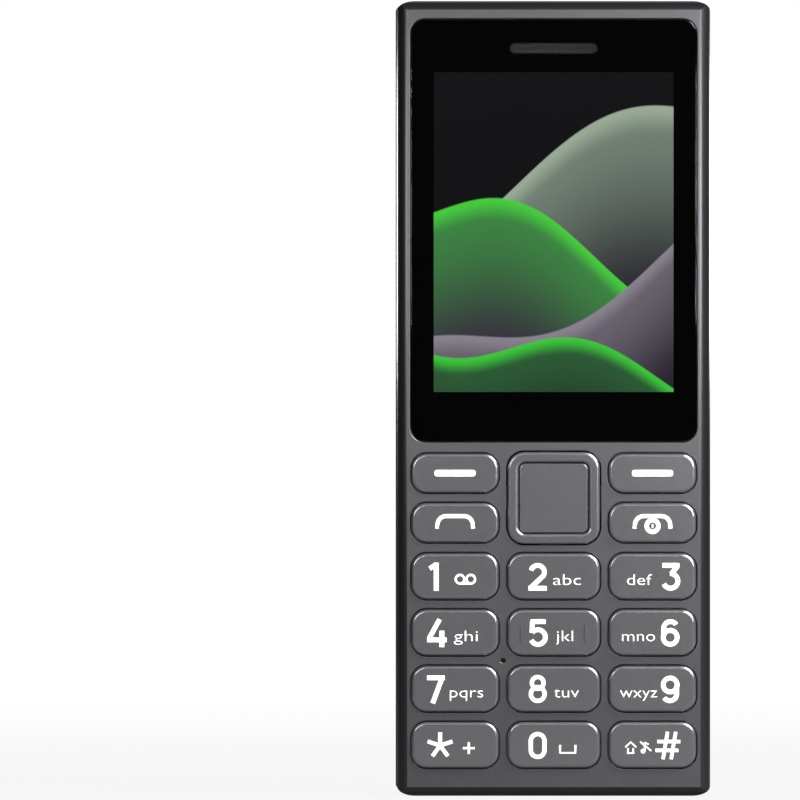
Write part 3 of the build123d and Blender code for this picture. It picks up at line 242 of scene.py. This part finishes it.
def turned_metal(name, colours, rough, centre, pitch):
    """Anodised aluminium turned on a lathe: a sheen that runs in fine rings about this centre. The tool's
    feed of about 0.05 mm is drawn at this coarser pitch, so that it shows."""
    material, tree, shader, place = new_material(name, colours[0], Metallic=1.0)
    moved = node(tree, "ShaderNodeMapping", {0: place, 1: [-c for c in centre]})
    flat = node(tree, "ShaderNodeVectorMath", {0: moved.outputs[0], 1: (1, 0, 1)}, operation="MULTIPLY")
    reach = node(tree, "ShaderNodeVectorMath", {0: flat.outputs[0]}, operation="LENGTH")
    rings = node(tree, "ShaderNodeTexNoise", {"W": reach.outputs["Value"], "Scale": 1 / pitch, "Detail": 2.0},
                 noise_dimensions="1D")
    relief(tree, shader, rings.outputs[0], colours, rough, 0.002 * MM)
    return material


def clear_acrylic():
    """Moulded clear acrylic of the flash lens: clear, with a trace of haze."""
    material, tree, shader, place = new_material("clear_acrylic", "ffffff", Roughness=0.03, IOR=1.49,
                                                 Transmission_Weight=1.0)
    smudges(tree, shader, place, 0.8 * MM, 2.0, (0.4, 0.7), (0.02, 0.08))
    return material


def coated_lens():
    """Camera lens glass with an anti-reflection coating, which tints what it reflects."""
    material, tree, shader, place = new_material("coated_lens", "05060a", Roughness=0.02, IOR=1.6,
                                                 Thin_Film_Thickness=380.0, Thin_Film_IOR=1.38)
    flecks(tree, shader, place, 0.7 * MM, ("030408", "0a0c14"))
    return material


def moulded(name, colours, rough, size=0.35 * MM, height=0.004 * MM, **sockets):
    """Moulded plastic or rubber with a spark-eroded grain, so an even, dull surface. The real grain of
    about 0.05 mm is drawn at this coarser size, so that it shows."""
    material, tree, shader, place = new_material(name, colours[0], IOR=1.46, **sockets)
    grain(tree, shader, place, size, colours, rough, height)
    return material


def plated(name, colours, rough, size=0.5 * MM):
    """Bare or plated sheet metal with a rolled surface: a sheen with faint streaks up the phone."""
    material, tree, shader, place = new_material(name, colours[0], Metallic=1.0)
    drawn = node(tree, "ShaderNodeMapping", {0: place, 3: (1.0, 1.0, 0.06)})
    grain(tree, shader, drawn.outputs[0], size, colours, rough, 0.002 * MM)
    return material


def circuit_board():
    """Glass-epoxy laminate under glossy green solder mask, with copper tracks that show through it. Tracks of
    0.15 mm are drawn as lines 1.6 mm apart, so that they show."""
    material, tree, shader, place = new_material("solder_mask", "0f3d22", Roughness=0.3, IOR=1.5)
    cells = node(tree, "ShaderNodeTexVoronoi", {"Vector": place, "Scale": 1 / (1.6 * MM), "Randomness": 0.15},
                 distance="CHEBYCHEV", feature="F1")
    track = node(tree, "ShaderNodeMapRange", {0: cells.outputs["Distance"], 1: 0.44, 2: 0.47, 3: 0.0, 4: 1.0})
    tone = node(tree, "ShaderNodeMix", {0: track.outputs[0], 6: linear("0f3d22"), 7: linear("1d5a34")},
                data_type="RGBA")
    bump = node(tree, "ShaderNodeBump", {"Height": track.outputs[0], "Distance": 0.02 * MM, "Strength": 0.6})
    tree.links.new(tone.outputs[2], shader.inputs["Base Color"])
    tree.links.new(bump.outputs[0], shader.inputs["Normal"])
    return material


def legend_ink():
    """White pad-printed legends over clear plastic. Their glow stands in for the keypad's backlight and is
    partly painted light that keeps the ink evenly white.
    """
    material, tree, shader, place = new_material(
        "legend_white", "f2f2f3", Roughness=0.45, IOR=1.5, Emission_Color=linear("f4f5f7"),
        Emission_Strength=0.42)
    flecks(tree, shader, place, 0.25 * MM, ("ededee", "fbfbfb"))
    return material


# The lit picture on the display is 36.72 by 48.96 mm
picture_half = 36.72 / 2 * MM
picture_low = 61.89 * MM
picture_high = 110.85 * MM
picture_depth = 1.46 * MM
picture_centre = middle("display_panel")
# Its ribbons, from the back one to the front one: rise, length, phase, lean, level and reach of the wave, the
# colour of its bright edge, and the colours that it fades through
picture_ribbons = (
    ((6.0 * MM, 62 * MM, 0.6, 0.35, 11 * MM, 30 * MM), "9fb09c", ("77867a", "2c2a31")),
    ((5.0 * MM, 48 * MM, 2.3, -0.30, 0 * MM, 24 * MM), "49d23f", ("3f8a45", "3a3140")),
    ((4.5 * MM, 55 * MM, 4.4, 0.45, -9 * MM, 22 * MM), "8c8792", ("6d6873", "2a2430")),
    ((3.5 * MM, 44 * MM, 0.9, -0.20, -17 * MM, 18 * MM), "3fcf3c", ("2f5f38", "1d1a21")),
)


def ribbon(tree, across, up, under, wave, glow, body_colours):
    """Lays one lit ribbon over the colours under it: bright along its upper edge, fading below it."""
    rise, length, phase, lean, level, reach = wave
    turn = node(tree, "ShaderNodeMath", {0: across, 1: 2 * math.pi / length, 2: phase},
                operation="MULTIPLY_ADD")
    swing = node(tree, "ShaderNodeMath", {0: turn.outputs[0]}, operation="SINE")
    tilt = node(tree, "ShaderNodeMath", {0: across, 1: lean, 2: level}, operation="MULTIPLY_ADD")
    edge = node(tree, "ShaderNodeMath", {0: swing.outputs[0], 1: rise, 2: tilt.outputs[0]},
                operation="MULTIPLY_ADD")
    below = node(tree, "ShaderNodeMath", {0: edge.outputs[0], 1: up}, operation="SUBTRACT")
    cover = node(tree, "ShaderNodeMapRange", {0: below.outputs[0], 1: 0.0, 2: 0.25 * MM})
    fade = node(tree, "ShaderNodeMapRange", {0: below.outputs[0], 1: 0.0, 2: reach},
                interpolation_type="SMOOTHSTEP")
    rim = node(tree, "ShaderNodeMapRange", {0: below.outputs[0], 1: 0.0, 2: 0.16 * reach},
               interpolation_type="SMOOTHSTEP")
    sheet = node(tree, "ShaderNodeMix", {0: fade.outputs[0], 6: linear(body_colours[0]),
                                         7: linear(body_colours[1])}, data_type="RGBA")
    lit = node(tree, "ShaderNodeMix", {0: rim.outputs[0], 6: linear(glow), 7: sheet.outputs[2]},
               data_type="RGBA")
    laid = node(tree, "ShaderNodeMix", {0: cover.outputs[0], 6: under, 7: lit.outputs[2]}, data_type="RGBA")
    return laid.outputs[2]


def display_light():
    """The lit picture of the display: soft ribbons of green and violet-grey over near-black."""
    material, tree, shader, place = new_material("lit_picture", "000000", Specular_IOR_Level=0.0,
                                                 Emission_Strength=1.0)
    moved = node(tree, "ShaderNodeMapping", {0: place, 1: [-c for c in picture_centre]})
    parts = node(tree, "ShaderNodeSeparateXYZ", {0: moved.outputs[0]})
    across, up = parts.outputs[0], parts.outputs[2]
    ground = node(tree, "ShaderNodeMapRange", {0: up, 1: -24 * MM, 2: 24 * MM})
    under = node(tree, "ShaderNodeMix", {0: ground.outputs[0], 6: linear("0d0d10"), 7: linear("151517")},
                 data_type="RGBA").outputs[2]
    for wave, glow, body_colours in picture_ribbons:
        under = ribbon(tree, across, up, under, wave, glow, body_colours)
    tree.links.new(under, shader.inputs["Emission Color"])
    return material


ring_centre = middle("camera_ring")
# The materials by the slots that the record gives the solids
materials = {
    "housing_paint": housing_paint(),
    "cover_paint": cover_paint(),
    "key_plastic": key_paint(),
    "window_glass": window_glass(),
    "camera_glass": disc_glass(),
    "ring_metal": turned_metal(
        "anodised_aluminium", ("55585c", "666a6e"), (0.26, 0.36), ring_centre, 0.12 * MM),
    "bezel_metal": turned_metal(
        "black_anodised_aluminium", ("2b2b2e", "38383b"), (0.3, 0.4), ring_centre, 0.15 * MM),
    "clear_lens": clear_acrylic(),
    "lens_glass": coated_lens(),
    # Black structural plastics: dull, the nylon a little smoother than the ABS
    "chassis_plastic": moulded("spark_eroded_abs", ("1b1b1c", "242425"), (0.5, 0.62)),
    "black_plastic": moulded("black_nylon", ("141415", "1d1d1e"), (0.42, 0.55)),
    # The backlight: bright milky white
    "white_plastic": moulded("white_polycarbonate", ("d9d9d6", "e6e6e3"), (0.4, 0.5)),
    # Rubbers: a soft grey that lets a little light in, and a dusty black
    "silicone": moulded("grey_silicone", ("8d8e90", "9a9b9d"), (0.5, 0.6), Subsurface_Weight=0.2),
    "boot_rubber": moulded("black_rubber", ("161617", "202021"), (0.65, 0.8)),
    # Film and panel glass, smooth with soft waves in them, and the board between
    "polyester_film": moulded("polyester_film", ("c9cbcc", "dadcdd"), (0.25, 0.35), size=2 * MM),
    "board_laminate": circuit_board(),
    "panel_glass": moulded("panel_glass", ("070709", "0c0c0f"), (0.06, 0.12), size=3 * MM, height=0.0),
    # Metals: warm grey cans, bright springs, blackened screws and gold contacts
    "sheet_steel": plated("nickel_silver_sheet", ("b9b7b0", "cbc9c3"), (0.28, 0.4)),
    "spring_steel": plated("spring_steel", ("b3b3b3", "c4c4c4"), (0.25, 0.35)),
    "screw_steel": plated("black_oxide_steel", ("2e2e30", "3d3d40"), (0.35, 0.5)),
    "gold_contact": plated("gold_plate", ("c79a4b", "dcb163"), (0.2, 0.32)),
    # Wrinkled dark label, amber ribbon and yellow phosphor
    "battery_foil": moulded("battery_label_film", ("2c2d30", "37383b"), (0.3, 0.42), size=0.9 * MM),
    "flex_film": moulded("polyimide_film", ("9a5f22", "b0702c"), (0.25, 0.35), size=1.5 * MM),
    "led_phosphor": moulded("led_phosphor", ("d8c64a", "e6d766"), (0.35, 0.5), size=0.3 * MM),
}
# Two solids look unlike the rest of their slot, both near black: woven black cloth, and the keypad's
# silicone, black here as painted shade in the gaps round the keys
materials_by_node = {
    "earpiece_mesh": moulded("black_cloth_mesh", ("0c0c0d", "131314"), (0.6, 0.75), size=0.12 * MM),
    "keypad_mat": moulded("silicone_black_as_painted_shade", ("111112", "18181a"), (0.6, 0.7)),
}
for part in frame["record"]["subparts"]:
    for material_slot in nodes[part["node"]].material_slots:
        material_slot.material = materials_by_node.get(part["node"], materials[part["material_slot"]])


# Pieces

def finish(name, bm, material, body):
    """Turns a bmesh into a piece that rides on a body."""
    bmesh.ops.recalc_face_normals(bm, faces=bm.faces)
    mesh = bpy.data.meshes.new(name)
    bm.to_mesh(mesh)
    bm.free()
    mesh.shade_smooth()
    mesh.set_sharp_from_angle(angle=math.radians(35))
    mesh.materials.append(material)
    piece = bpy.data.objects.new(name, mesh)
    scene.collection.objects.link(piece)
    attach(piece, body)
    return piece


def outline(bm, low, high, y, corner, rounded=(True, True)):
    """A face in the plane of y from low to high (x, z), its lower and upper corners rounded or not."""
    corners = bmesh.ops.create_grid(bm, x_segments=1, y_segments=1, size=0.5)["verts"]
    size = Matrix.Diagonal((high[0] - low[0], high[1] - low[1], 1, 1))
    place = Matrix.Translation(((low[0] + high[0]) / 2, y, (low[1] + high[1]) / 2))
    bmesh.ops.transform(bm, matrix=place @ Matrix.Rotation(math.pi / 2, 4, "X") @ size, verts=corners)
    middle_z = (low[1] + high[1]) / 2
    to_round = [v for v in corners if rounded[int(v.co.z > middle_z)]]
    if corner and to_round:
        bmesh.ops.bevel(bm, geom=to_round, offset=corner, segments=10, profile=0.5, affect="VERTICES",
                        material=-1)


def holed_sheet(bm, outer, inner, y, thickness):
    """A thin sheet between two outlines, each given as low, high, corner and rounded."""
    earlier = set(bm.edges)
    outline(bm, outer[0], outer[1], y, outer[2], outer[3])
    rim = set(bm.edges) - earlier
    outline(bm, inner[0], inner[1], y, inner[2], inner[3])
    hole = set(bm.edges) - earlier - rim
    plates = list({face for edge in rim | hole for face in edge.link_faces})
    bmesh.ops.delete(bm, geom=plates, context="FACES_ONLY")
    ring = bmesh.ops.bridge_loops(bm, edges=list(rim | hole))["faces"]
    bmesh.ops.recalc_face_normals(bm, faces=ring)
    bmesh.ops.solidify(bm, geom=ring, thickness=thickness)


# The black print behind the window is two sheets that meet above the picture: the lower one is open over the
# picture, the upper one over the earpiece slot
window_low, window_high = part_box("display_window")
print_inset = 0.12 * MM
print_corner = 2.1 * MM
print_depth = 0.8 * MM
print_thickness = 0.04 * MM
sheets_meet = 112.4 * MM
slot_middle = middle("earpiece_mesh")
slot_half_length = 6.75 * MM
slot_half_height = 0.85 * MM
slot_corner = 0.8 * MM
edge_x = window_high[0] - print_inset
bm = bmesh.new()
holed_sheet(
    bm,
    ((-edge_x, window_low[2] + print_inset), (edge_x, sheets_meet), print_corner, (True, False)),
    ((-picture_half, picture_low), (picture_half, picture_high), 0, (False, False)),
    depth(print_depth), print_thickness,
)
holed_sheet(
    bm,
    ((-edge_x, sheets_meet), (edge_x, window_high[2] - print_inset), print_corner, (False, True)),
    ((-slot_half_length, slot_middle[2] - slot_half_height),
     (slot_half_length, slot_middle[2] + slot_half_height), slot_corner, (True, True)),
    depth(print_depth), print_thickness,
)
finish("window_print", bm, black_print(), "phone")

# The lit picture on the panel
bm = bmesh.new()
outline(bm, (-picture_half, picture_low), (picture_half, picture_high), depth(picture_depth), 0)
bmesh.ops.solidify(bm, geom=bm.faces[:], thickness=0.02 * MM)
finish("display_picture", bm, display_light(), "phone")


# Legends on the keys, as the middles of their lines in millimetres from the key's middle

def arc(centre, radius, start, end, steps=20):
    """Points round a centre from a start to an end angle in degrees."""
    turns = [math.radians(start + (end - start) * step / steps) for step in range(steps + 1)]
    return [(centre[0] + radius * math.cos(t), centre[1] + radius * math.sin(t)) for t in turns]


stroke = 0.76
thin_digits = {"0": 0.68, "8": 0.68, "star": 0.62, "hash": 0.56}
digit_drop = 0.08  # every digit stands this much lower on its key
digit_strokes = {
    "0": [arc((0, 0.7), 1.05, 180, 0) + arc((0, -0.7), 1.05, 0, -180) + [(-1.05, 0.7)]],
    "1": [[(0.25, 2.15), (0.25, -2.15)], [(-0.75, 1.25), (0.35, 1.95)]],
    "2": [arc((0, 0.72), 1.03, 165, -38) + [(-1.0, -1.6)], [(-1.4, -1.75), (1.4, -1.75)]],
    "3": [[(-1.3, 1.75), (1.3, 1.75)], [(1.05, 1.7), (0.05, 0.42)], arc((-0.05, -0.63), 1.12, 95, -155)],
    "4": [[(0.4, 2.1), (-1.2, -0.85)], [(-1.5, -1.05), (1.5, -1.05)], [(0.75, 0.35), (0.75, -2.15)]],
    "5": [[(-1.1, 1.75), (1.15, 1.75)], [(-0.85, 1.9), (-0.95, 0.05)], arc((-0.02, -0.62), 1.13, 140, -155)],
    "6": [arc((0.05, 0.7), 1.05, 35, 180) + [(-1.0, -0.6)], arc((0, -0.66), 1.07, 0, 360)],
    "7": [[(-1.35, 1.75), (1.35, 1.75)], [(0.95, 1.75), (-0.5, -2.15)]],
    "8": [arc((0, 0.98), 0.9, 0, 360), arc((0, -0.72), 1.06, 0, 360)],
    "9": [arc((-0.05, -0.7), 1.05, 215, 360) + [(1.0, 0.6)], arc((0, 0.66), 1.07, 0, 360)],
    "star": [[(0, 0), tip] for tip in arc((0, 0), 2.0, 90, 378, 4)],
    "hash": [[(-0.75, -2.1), (-0.05, 2.1)], [(0.5, -2.1), (1.2, 2.1)], [(-1.6, 0.6), (1.9, 0.6)],
             [(-1.9, -0.75), (1.6, -0.75)]],
}
legend_proud = 0.02 * MM  # over the key's front
letter_size = 2.4
letter_base = -1.33
letter_thinning = 0.025
# Each key's digit and how far right it stands, and its letters with their left end and their width
key_legends = {
    "key_1": ("1", -3.13, None),
    "key_2": ("2", -2.47, ("abc", -0.11, 4.25)),
    "key_3": ("3", 2.81, ("def", -3.9, 3.8)),
    "key_4": ("4", -2.77, ("ghi", -0.19, 3.65)),
    "key_5": ("5", -2.4, ("jkl", 0.35, 2.6)),
    "key_6": ("6", 2.7, ("mno", -4.66, 5.05)),
    "key_7": ("7", -2.93, ("pqrs", -0.8, 5.1)),
    "key_8": ("8", -2.46, ("tuv", 0.05, 3.8)),
    "key_9": ("9", 2.7, ("wxyz", -4.97, 5.7)),
    "key_star": ("star", -2.29, None),
    "key_0": ("0", -2.47, None),
    "key_hash": ("hash", 2.35, None),
}
# Each key's symbols as strokes and their width: two receivers, voicemail, plus, space, and shift and language
arch = [(-2.75, -0.9), (-2.75, -0.35)] + arc((-1.35, -0.35), 1.35, 180, 90) + arc((1.35, -0.35), 1.35, 90, 0)
arch = arch + [(2.75, -0.9)]
key_marks = {
    "key_call": [([arch], 0.62)],
    "key_end": [([arch], 0.62), ([arc((0, -0.5), 0.9, 0, 360)], 0.72), ([[(0, -0.2), (0, -0.8)]], 0.24)],
    "key_1": [([arc((0.75, -0.45), 0.66, 0, 360), arc((2.4, -0.45), 0.66, 0, 360),
                [(0.75, -1.11), (2.4, -1.11)]], 0.36)],
    "key_star": [([[(1.2, -0.48), (3.0, -0.48)], [(2.1, 0.42), (2.1, -1.38)]], 0.36)],
    "key_0": [([[(0.95, 0.0), (0.95, -1.2), (3.3, -1.2), (3.3, 0.0)]], 0.34)],
    "key_hash": [([[(-4.15, -0.35), (-3.33, 0.45), (-2.5, -0.35)], [(-3.75, -0.5), (-3.75, -1.25)],
                   [(-2.95, -0.5), (-2.95, -1.25)], [(-3.9, -1.25), (-2.8, -1.25)]], 0.26),
                 ([arc((-1.45, -0.95), 0.24, 0, 360), [(-1.2, -0.95), (-1.2, 0.35)],
                   [(-1.9, 0.5), (-0.2, -0.9)], [(-1.2, 0.35), (-0.6, 0.1)]], 0.26)],
}
soft_key_bar = (3.15 * MM, 0.5 * MM)  # half its length and half its height
legend_white = legend_ink()


def place_curve(bm, curve, matrix):
    """Adds a curve's mesh to a bmesh, put in place by a matrix, and gives its vertices."""
    holder = bpy.data.objects.new("outline", curve)
    scene.collection.objects.link(holder)
    shape = bpy.data.meshes.new_from_object(holder.evaluated_get(bpy.context.evaluated_depsgraph_get()))
    bpy.data.objects.remove(holder)
    before = set(bm.verts)
    bm.from_mesh(shape)
    fresh = [v for v in bm.verts if v not in before]
    bmesh.ops.transform(bm, matrix=matrix, verts=fresh)
    return fresh


def draw_strokes(bm, strokes, width):
    """Strokes of this width as flattened bars in the plane of the keys, cut square at open ends."""
    curve = bpy.data.curves.new("strokes", "CURVE")
    curve.dimensions = "3D"
    curve.bevel_depth = width / 2 * MM
    curve.bevel_resolution = 3
    curve.use_fill_caps = True
    for points in strokes:
        closed = math.dist(points[0], points[-1]) < 0.001
        if closed:
            points = points[:-1]
        line = curve.splines.new("POLY")
        line.points.add(len(points) - 1)
        line.use_cyclic_u = closed
        for spot, (across, up) in zip(line.points, points):
            spot.co = (across * MM, 0, up * MM, 1)
    fresh = place_curve(bm, curve, Matrix.Identity(4))
    tall = max(v.co.y for v in fresh) - min(v.co.y for v in fresh)
    bmesh.ops.scale(bm, vec=(1, 2 * legend_proud / tall, 1), verts=fresh)


def write_letters(bm, letters, left, width):
    """Small letters in the plain built-in face, fitted to this width from this left end."""
    curve = bpy.data.curves.new("letters", "FONT")
    curve.body = letters
    curve.size = letter_size * MM
    curve.extrude = 0.5 * legend_proud
    curve.offset = -letter_thinning * MM
    curve.resolution_u = 3
    fresh = place_curve(bm, curve, Matrix.Rotation(math.pi / 2, 4, "X"))
    start = min(v.co.x for v in fresh)
    wide = max(v.co.x for v in fresh) - start
    bmesh.ops.translate(bm, vec=(-start, 0, 0), verts=fresh)
    bmesh.ops.scale(bm, vec=(width * MM / wide, 1, 1), verts=fresh)
    bmesh.ops.translate(bm, vec=(left * MM, 0, letter_base * MM), verts=fresh)


def draw_bar(bm):
    """The plain bar on a soft key, half sunk in the key's front."""
    half_length, half_height = soft_key_bar
    outline(bm, (-half_length, -half_height), (half_length, half_height), -legend_proud, 0.4 * MM)
    raised = bmesh.ops.extrude_face_region(bm, geom=bm.faces[:])["geom"]
    raised_verts = [v for v in raised if isinstance(v, bmesh.types.BMVert)]
    bmesh.ops.translate(bm, vec=(0, 2 * legend_proud, 0), verts=raised_verts)


for name in ["key_soft_left", "key_soft_right"] + sorted(set(key_marks) | set(key_legends)):
    low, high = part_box(name)
    centre_x = (low[0] + high[0]) / 2
    centre_z = (low[2] + high[2]) / 2
    # The raised marks on key 5 stand in front of its face, so its legend lies as deep as its neighbour's
    face_y = low[1] if name != "key_5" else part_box("key_2")[0][1]
    bm = bmesh.new()
    drawings = list(key_marks.get(name, []))
    if name in key_legends:
        digit, across, letters = key_legends[name]
        lines = [[(across + x, z - digit_drop) for x, z in line] for line in digit_strokes[digit]]
        drawings.append((lines, thin_digits.get(digit, stroke)))
        if letters:
            write_letters(bm, *letters)
    elif not drawings:
        draw_bar(bm)
    for strokes, width in drawings:
        draw_strokes(bm, strokes, width)
    bmesh.ops.translate(bm, vec=(centre_x, face_y, centre_z), verts=bm.verts)
    finish("legend_" + name.removeprefix("key_"), bm, legend_white, name)


# Camera and flash

def spun(bm, profile, centre, steps=64):
    """A profile of (radius in millimetres, y) points spun about a line along y through this centre."""
    spots = [bm.verts.new((centre[0] + r * MM, y, centre[2])) for r, y in profile]
    lines = [bm.edges.new(pair) for pair in zip(spots, spots[1:])]
    bmesh.ops.spin(bm, geom=spots + lines, cent=centre, axis=(0, 1, 0), angle=2 * math.pi, steps=steps,
                   use_merge=True)
    bmesh.ops.remove_doubles(bm, verts=bm.verts, dist=0.0005 * MM)


# The stepped black baffle round the camera's lens, inside the bezel: each step's radius, and its height over
# the lens
camera_centre = middle("camera_bezel")
bezel_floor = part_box("camera_bezel")[0][1]
lens_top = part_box("camera_lens")[1][1]
baffle_radius = 3.1
baffle_steps = ((2.75, 0.05), (2.6, 0.2), (2.45, 0.35), (2.35, 0.5))
baffle_low = bezel_floor - 0.05 * MM
profile = [(baffle_radius, baffle_low)]
for radius, over_lens in baffle_steps:
    step_y = lens_top + over_lens * MM
    profile += [(profile[-1][0], step_y), (radius, step_y)]
profile += [(profile[-1][0], baffle_low), (baffle_radius, baffle_low)]
bm = bmesh.new()
spun(bm, profile, camera_centre)
# Flocking: a velvet of short black fibres that swallows light
flocking = moulded("flocked_black", ("060607", "0b0b0c"), (0.8, 0.9), size=0.1 * MM)
finish("camera_baffle", bm, flocking, "phone")

# The flash lens with its Fresnel steps inside
flash_centre = middle("flash_bezel")
lens_low, lens_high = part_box("flash_lens")
lens_radius = 2.1
fresnel_rim = 0.15
fresnel_rings = 6
fresnel_pitch = 0.32
fresnel_draft = 0.02
fresnel_depth = 0.3 * MM
profile = [(0, lens_high[1]), (lens_radius, lens_high[1]), (lens_radius, lens_low[1])]
for ring in range(fresnel_rings):
    outer = lens_radius - fresnel_rim - ring * fresnel_pitch
    profile += [(outer, lens_low[1]), (outer - fresnel_draft, lens_low[1] + fresnel_depth)]
profile.append((0, lens_low[1]))
bm = bmesh.new()
spun(bm, profile, flash_centre)
flash_lens = finish("flash_lens_fresnel", bm, materials["clear_lens"], "cover")
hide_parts("flash_lens")


# Floor, world, lights and camera

shadow_reach = 0.08  # metres from the phone, up to where the floor is less white
white_reach = 0.45  # metres from the phone, from where it is fully white
white_near = 0.9
floor_in_mirrors = 0.1
room_light = 0.1
room_in_mirrors = 0.02
bank_light = 0.5


def ray_kinds(tree):
    """Whether the camera sees a point, and whether a mirror or clear glass does."""
    rays = node(tree, "ShaderNodeLightPath")
    mirrored = node(tree, "ShaderNodeMath", {0: rays.outputs["Is Glossy Ray"],
                                             1: rays.outputs["Is Transmission Ray"]}, operation="MAXIMUM")
    return rays.outputs["Is Camera Ray"], mirrored.outputs[0]


def stage_floor():
    """A seamless paper floor. The camera sees it white, a little less so near the phone, where a soft shadow
    lies. To the lamps it is mid grey, so that it throws little light up at the keys."""
    material, tree, shader, place = new_material("studio_paper", "505050", Roughness=0.9)
    flecks(tree, shader, place, 2 * MM, ("505050", "585858"), detail=4.0)
    by_camera, mirrored = ray_kinds(tree)
    reach = node(tree, "ShaderNodeVectorMath", {0: place}, operation="LENGTH")
    white = node(tree, "ShaderNodeMapRange", {0: reach.outputs["Value"], 1: shadow_reach, 2: white_reach,
                                              3: white_near, 4: 1.0}, interpolation_type="SMOOTHSTEP")
    part = node(tree, "ShaderNodeMath", {0: by_camera, 1: white.outputs[0]}, operation="MULTIPLY")
    shine = node(tree, "ShaderNodeMath", {0: mirrored, 1: floor_in_mirrors, 2: part.outputs[0]},
                 operation="MULTIPLY_ADD")
    glow = node(tree, "ShaderNodeEmission", {"Color": linear("ffffff"), "Strength": 1.0})
    both = node(tree, "ShaderNodeMixShader", {0: shine.outputs[0], 1: shader.outputs[0], 2: glow.outputs[0]})
    tree.links.new(both.outputs[0], tree.nodes["Material Output"].inputs[0])
    bm = bmesh.new()
    bmesh.ops.create_grid(bm, x_segments=1, y_segments=1, size=4.0)
    mesh = bpy.data.meshes.new("floor")
    bm.to_mesh(mesh)
    bm.free()
    mesh.materials.append(material)
    floor = bpy.data.objects.new("floor", mesh)
    scene.collection.objects.link(floor)


def studio_world():
    """A dim room with a soft bank of light fore and aft above the phone's level. Level with the phone and
    overhead it is dark, as between black flags. The camera sees white."""
    world = bpy.data.worlds.new("studio")
    scene.world = world
    world.use_nodes = True
    tree = world.node_tree
    by_camera, mirrored = ray_kinds(tree)
    way = node(tree, "ShaderNodeSeparateXYZ", {0: node(tree, "ShaderNodeTexCoord").outputs["Generated"]})
    fore = node(tree, "ShaderNodeMath", {0: way.outputs[1]}, operation="ABSOLUTE")
    facing = node(tree, "ShaderNodeMapRange", {0: fore.outputs[0], 1: 0.2, 2: 0.6},
                  interpolation_type="SMOOTHSTEP")
    above = node(tree, "ShaderNodeMapRange", {0: way.outputs[2], 1: 0.15, 2: 0.5},
                 interpolation_type="SMOOTHSTEP")
    below = node(tree, "ShaderNodeMapRange", {0: way.outputs[2], 1: 0.7, 2: 0.95, 3: 1.0, 4: 0.0},
                 interpolation_type="SMOOTHSTEP")
    band = node(tree, "ShaderNodeMath", {0: above.outputs[0], 1: below.outputs[0]}, operation="MULTIPLY")
    bank = node(tree, "ShaderNodeMath", {0: band.outputs[0], 1: facing.outputs[0]}, operation="MULTIPLY")
    dim = node(tree, "ShaderNodeMix", {0: mirrored, 2: room_light, 3: room_in_mirrors})
    room = node(tree, "ShaderNodeMath", {0: bank.outputs[0], 1: bank_light, 2: dim.outputs[0]},
                operation="MULTIPLY_ADD")
    level = node(tree, "ShaderNodeMix", {0: by_camera, 2: room.outputs[0], 3: 1.0})
    tree.links.new(level.outputs[0], tree.nodes["Background"].inputs["Strength"])
    tree.nodes["Background"].inputs["Color"].default_value = linear("ffffff")


def softbox(name, place, target, size, power):
    """A rectangular lamp, its size in metres and its power in watts, pointed from its place at a target."""
    lamp = bpy.data.lights.new(name, "AREA")
    lamp.shape = "RECTANGLE"
    lamp.size, lamp.size_y = size
    lamp.energy = power
    holder = bpy.data.objects.new(name, lamp)
    holder.location = place
    holder.rotation_euler = (Vector(target) - Vector(place)).to_track_quat("-Z", "Y").to_euler()
    scene.collection.objects.link(holder)


stage_floor()
studio_world()
softbox("corner_softbox", (0.26, -0.16, 0.33), (0, 0, 0.09), (0.24, 0.24), 4.0)
# Strips of light at both sides, no higher than the phone, so that its top end doesn't mirror them
strip_x = 0.105
strip_y = 0.18
strip_length = 0.12
strip_target = (0, 0, 0.10)
back_power = 0.17
for side, name, front_power in ((-1, "left", 0.11), (1, "right", 0.24)):
    softbox(name + "_front_softbox", (side * strip_x, -strip_y, 0.0965), strip_target,
            (strip_length, 0.045), front_power)
    softbox(name + "_back_softbox", (side * strip_x, strip_y, 0.0925), strip_target,
            (strip_length, 0.052), back_power)

# The camera stands level in front of the phone, which lies right of the middle of the frame. Its long lens
# gives hardly any perspective.
camera_data = bpy.data.cameras.new("camera")
camera_data.lens = 400
camera_data.sensor_width = 36
camera_data.clip_end = 100
camera = bpy.data.objects.new("camera", camera_data)
camera.location = (-0.02352, -1.3665, 0.06066)
camera.rotation_euler = (math.pi / 2, 0, 0)
scene.collection.objects.link(camera)
scene.camera = camera
scene.view_settings.view_transform = "Standard"
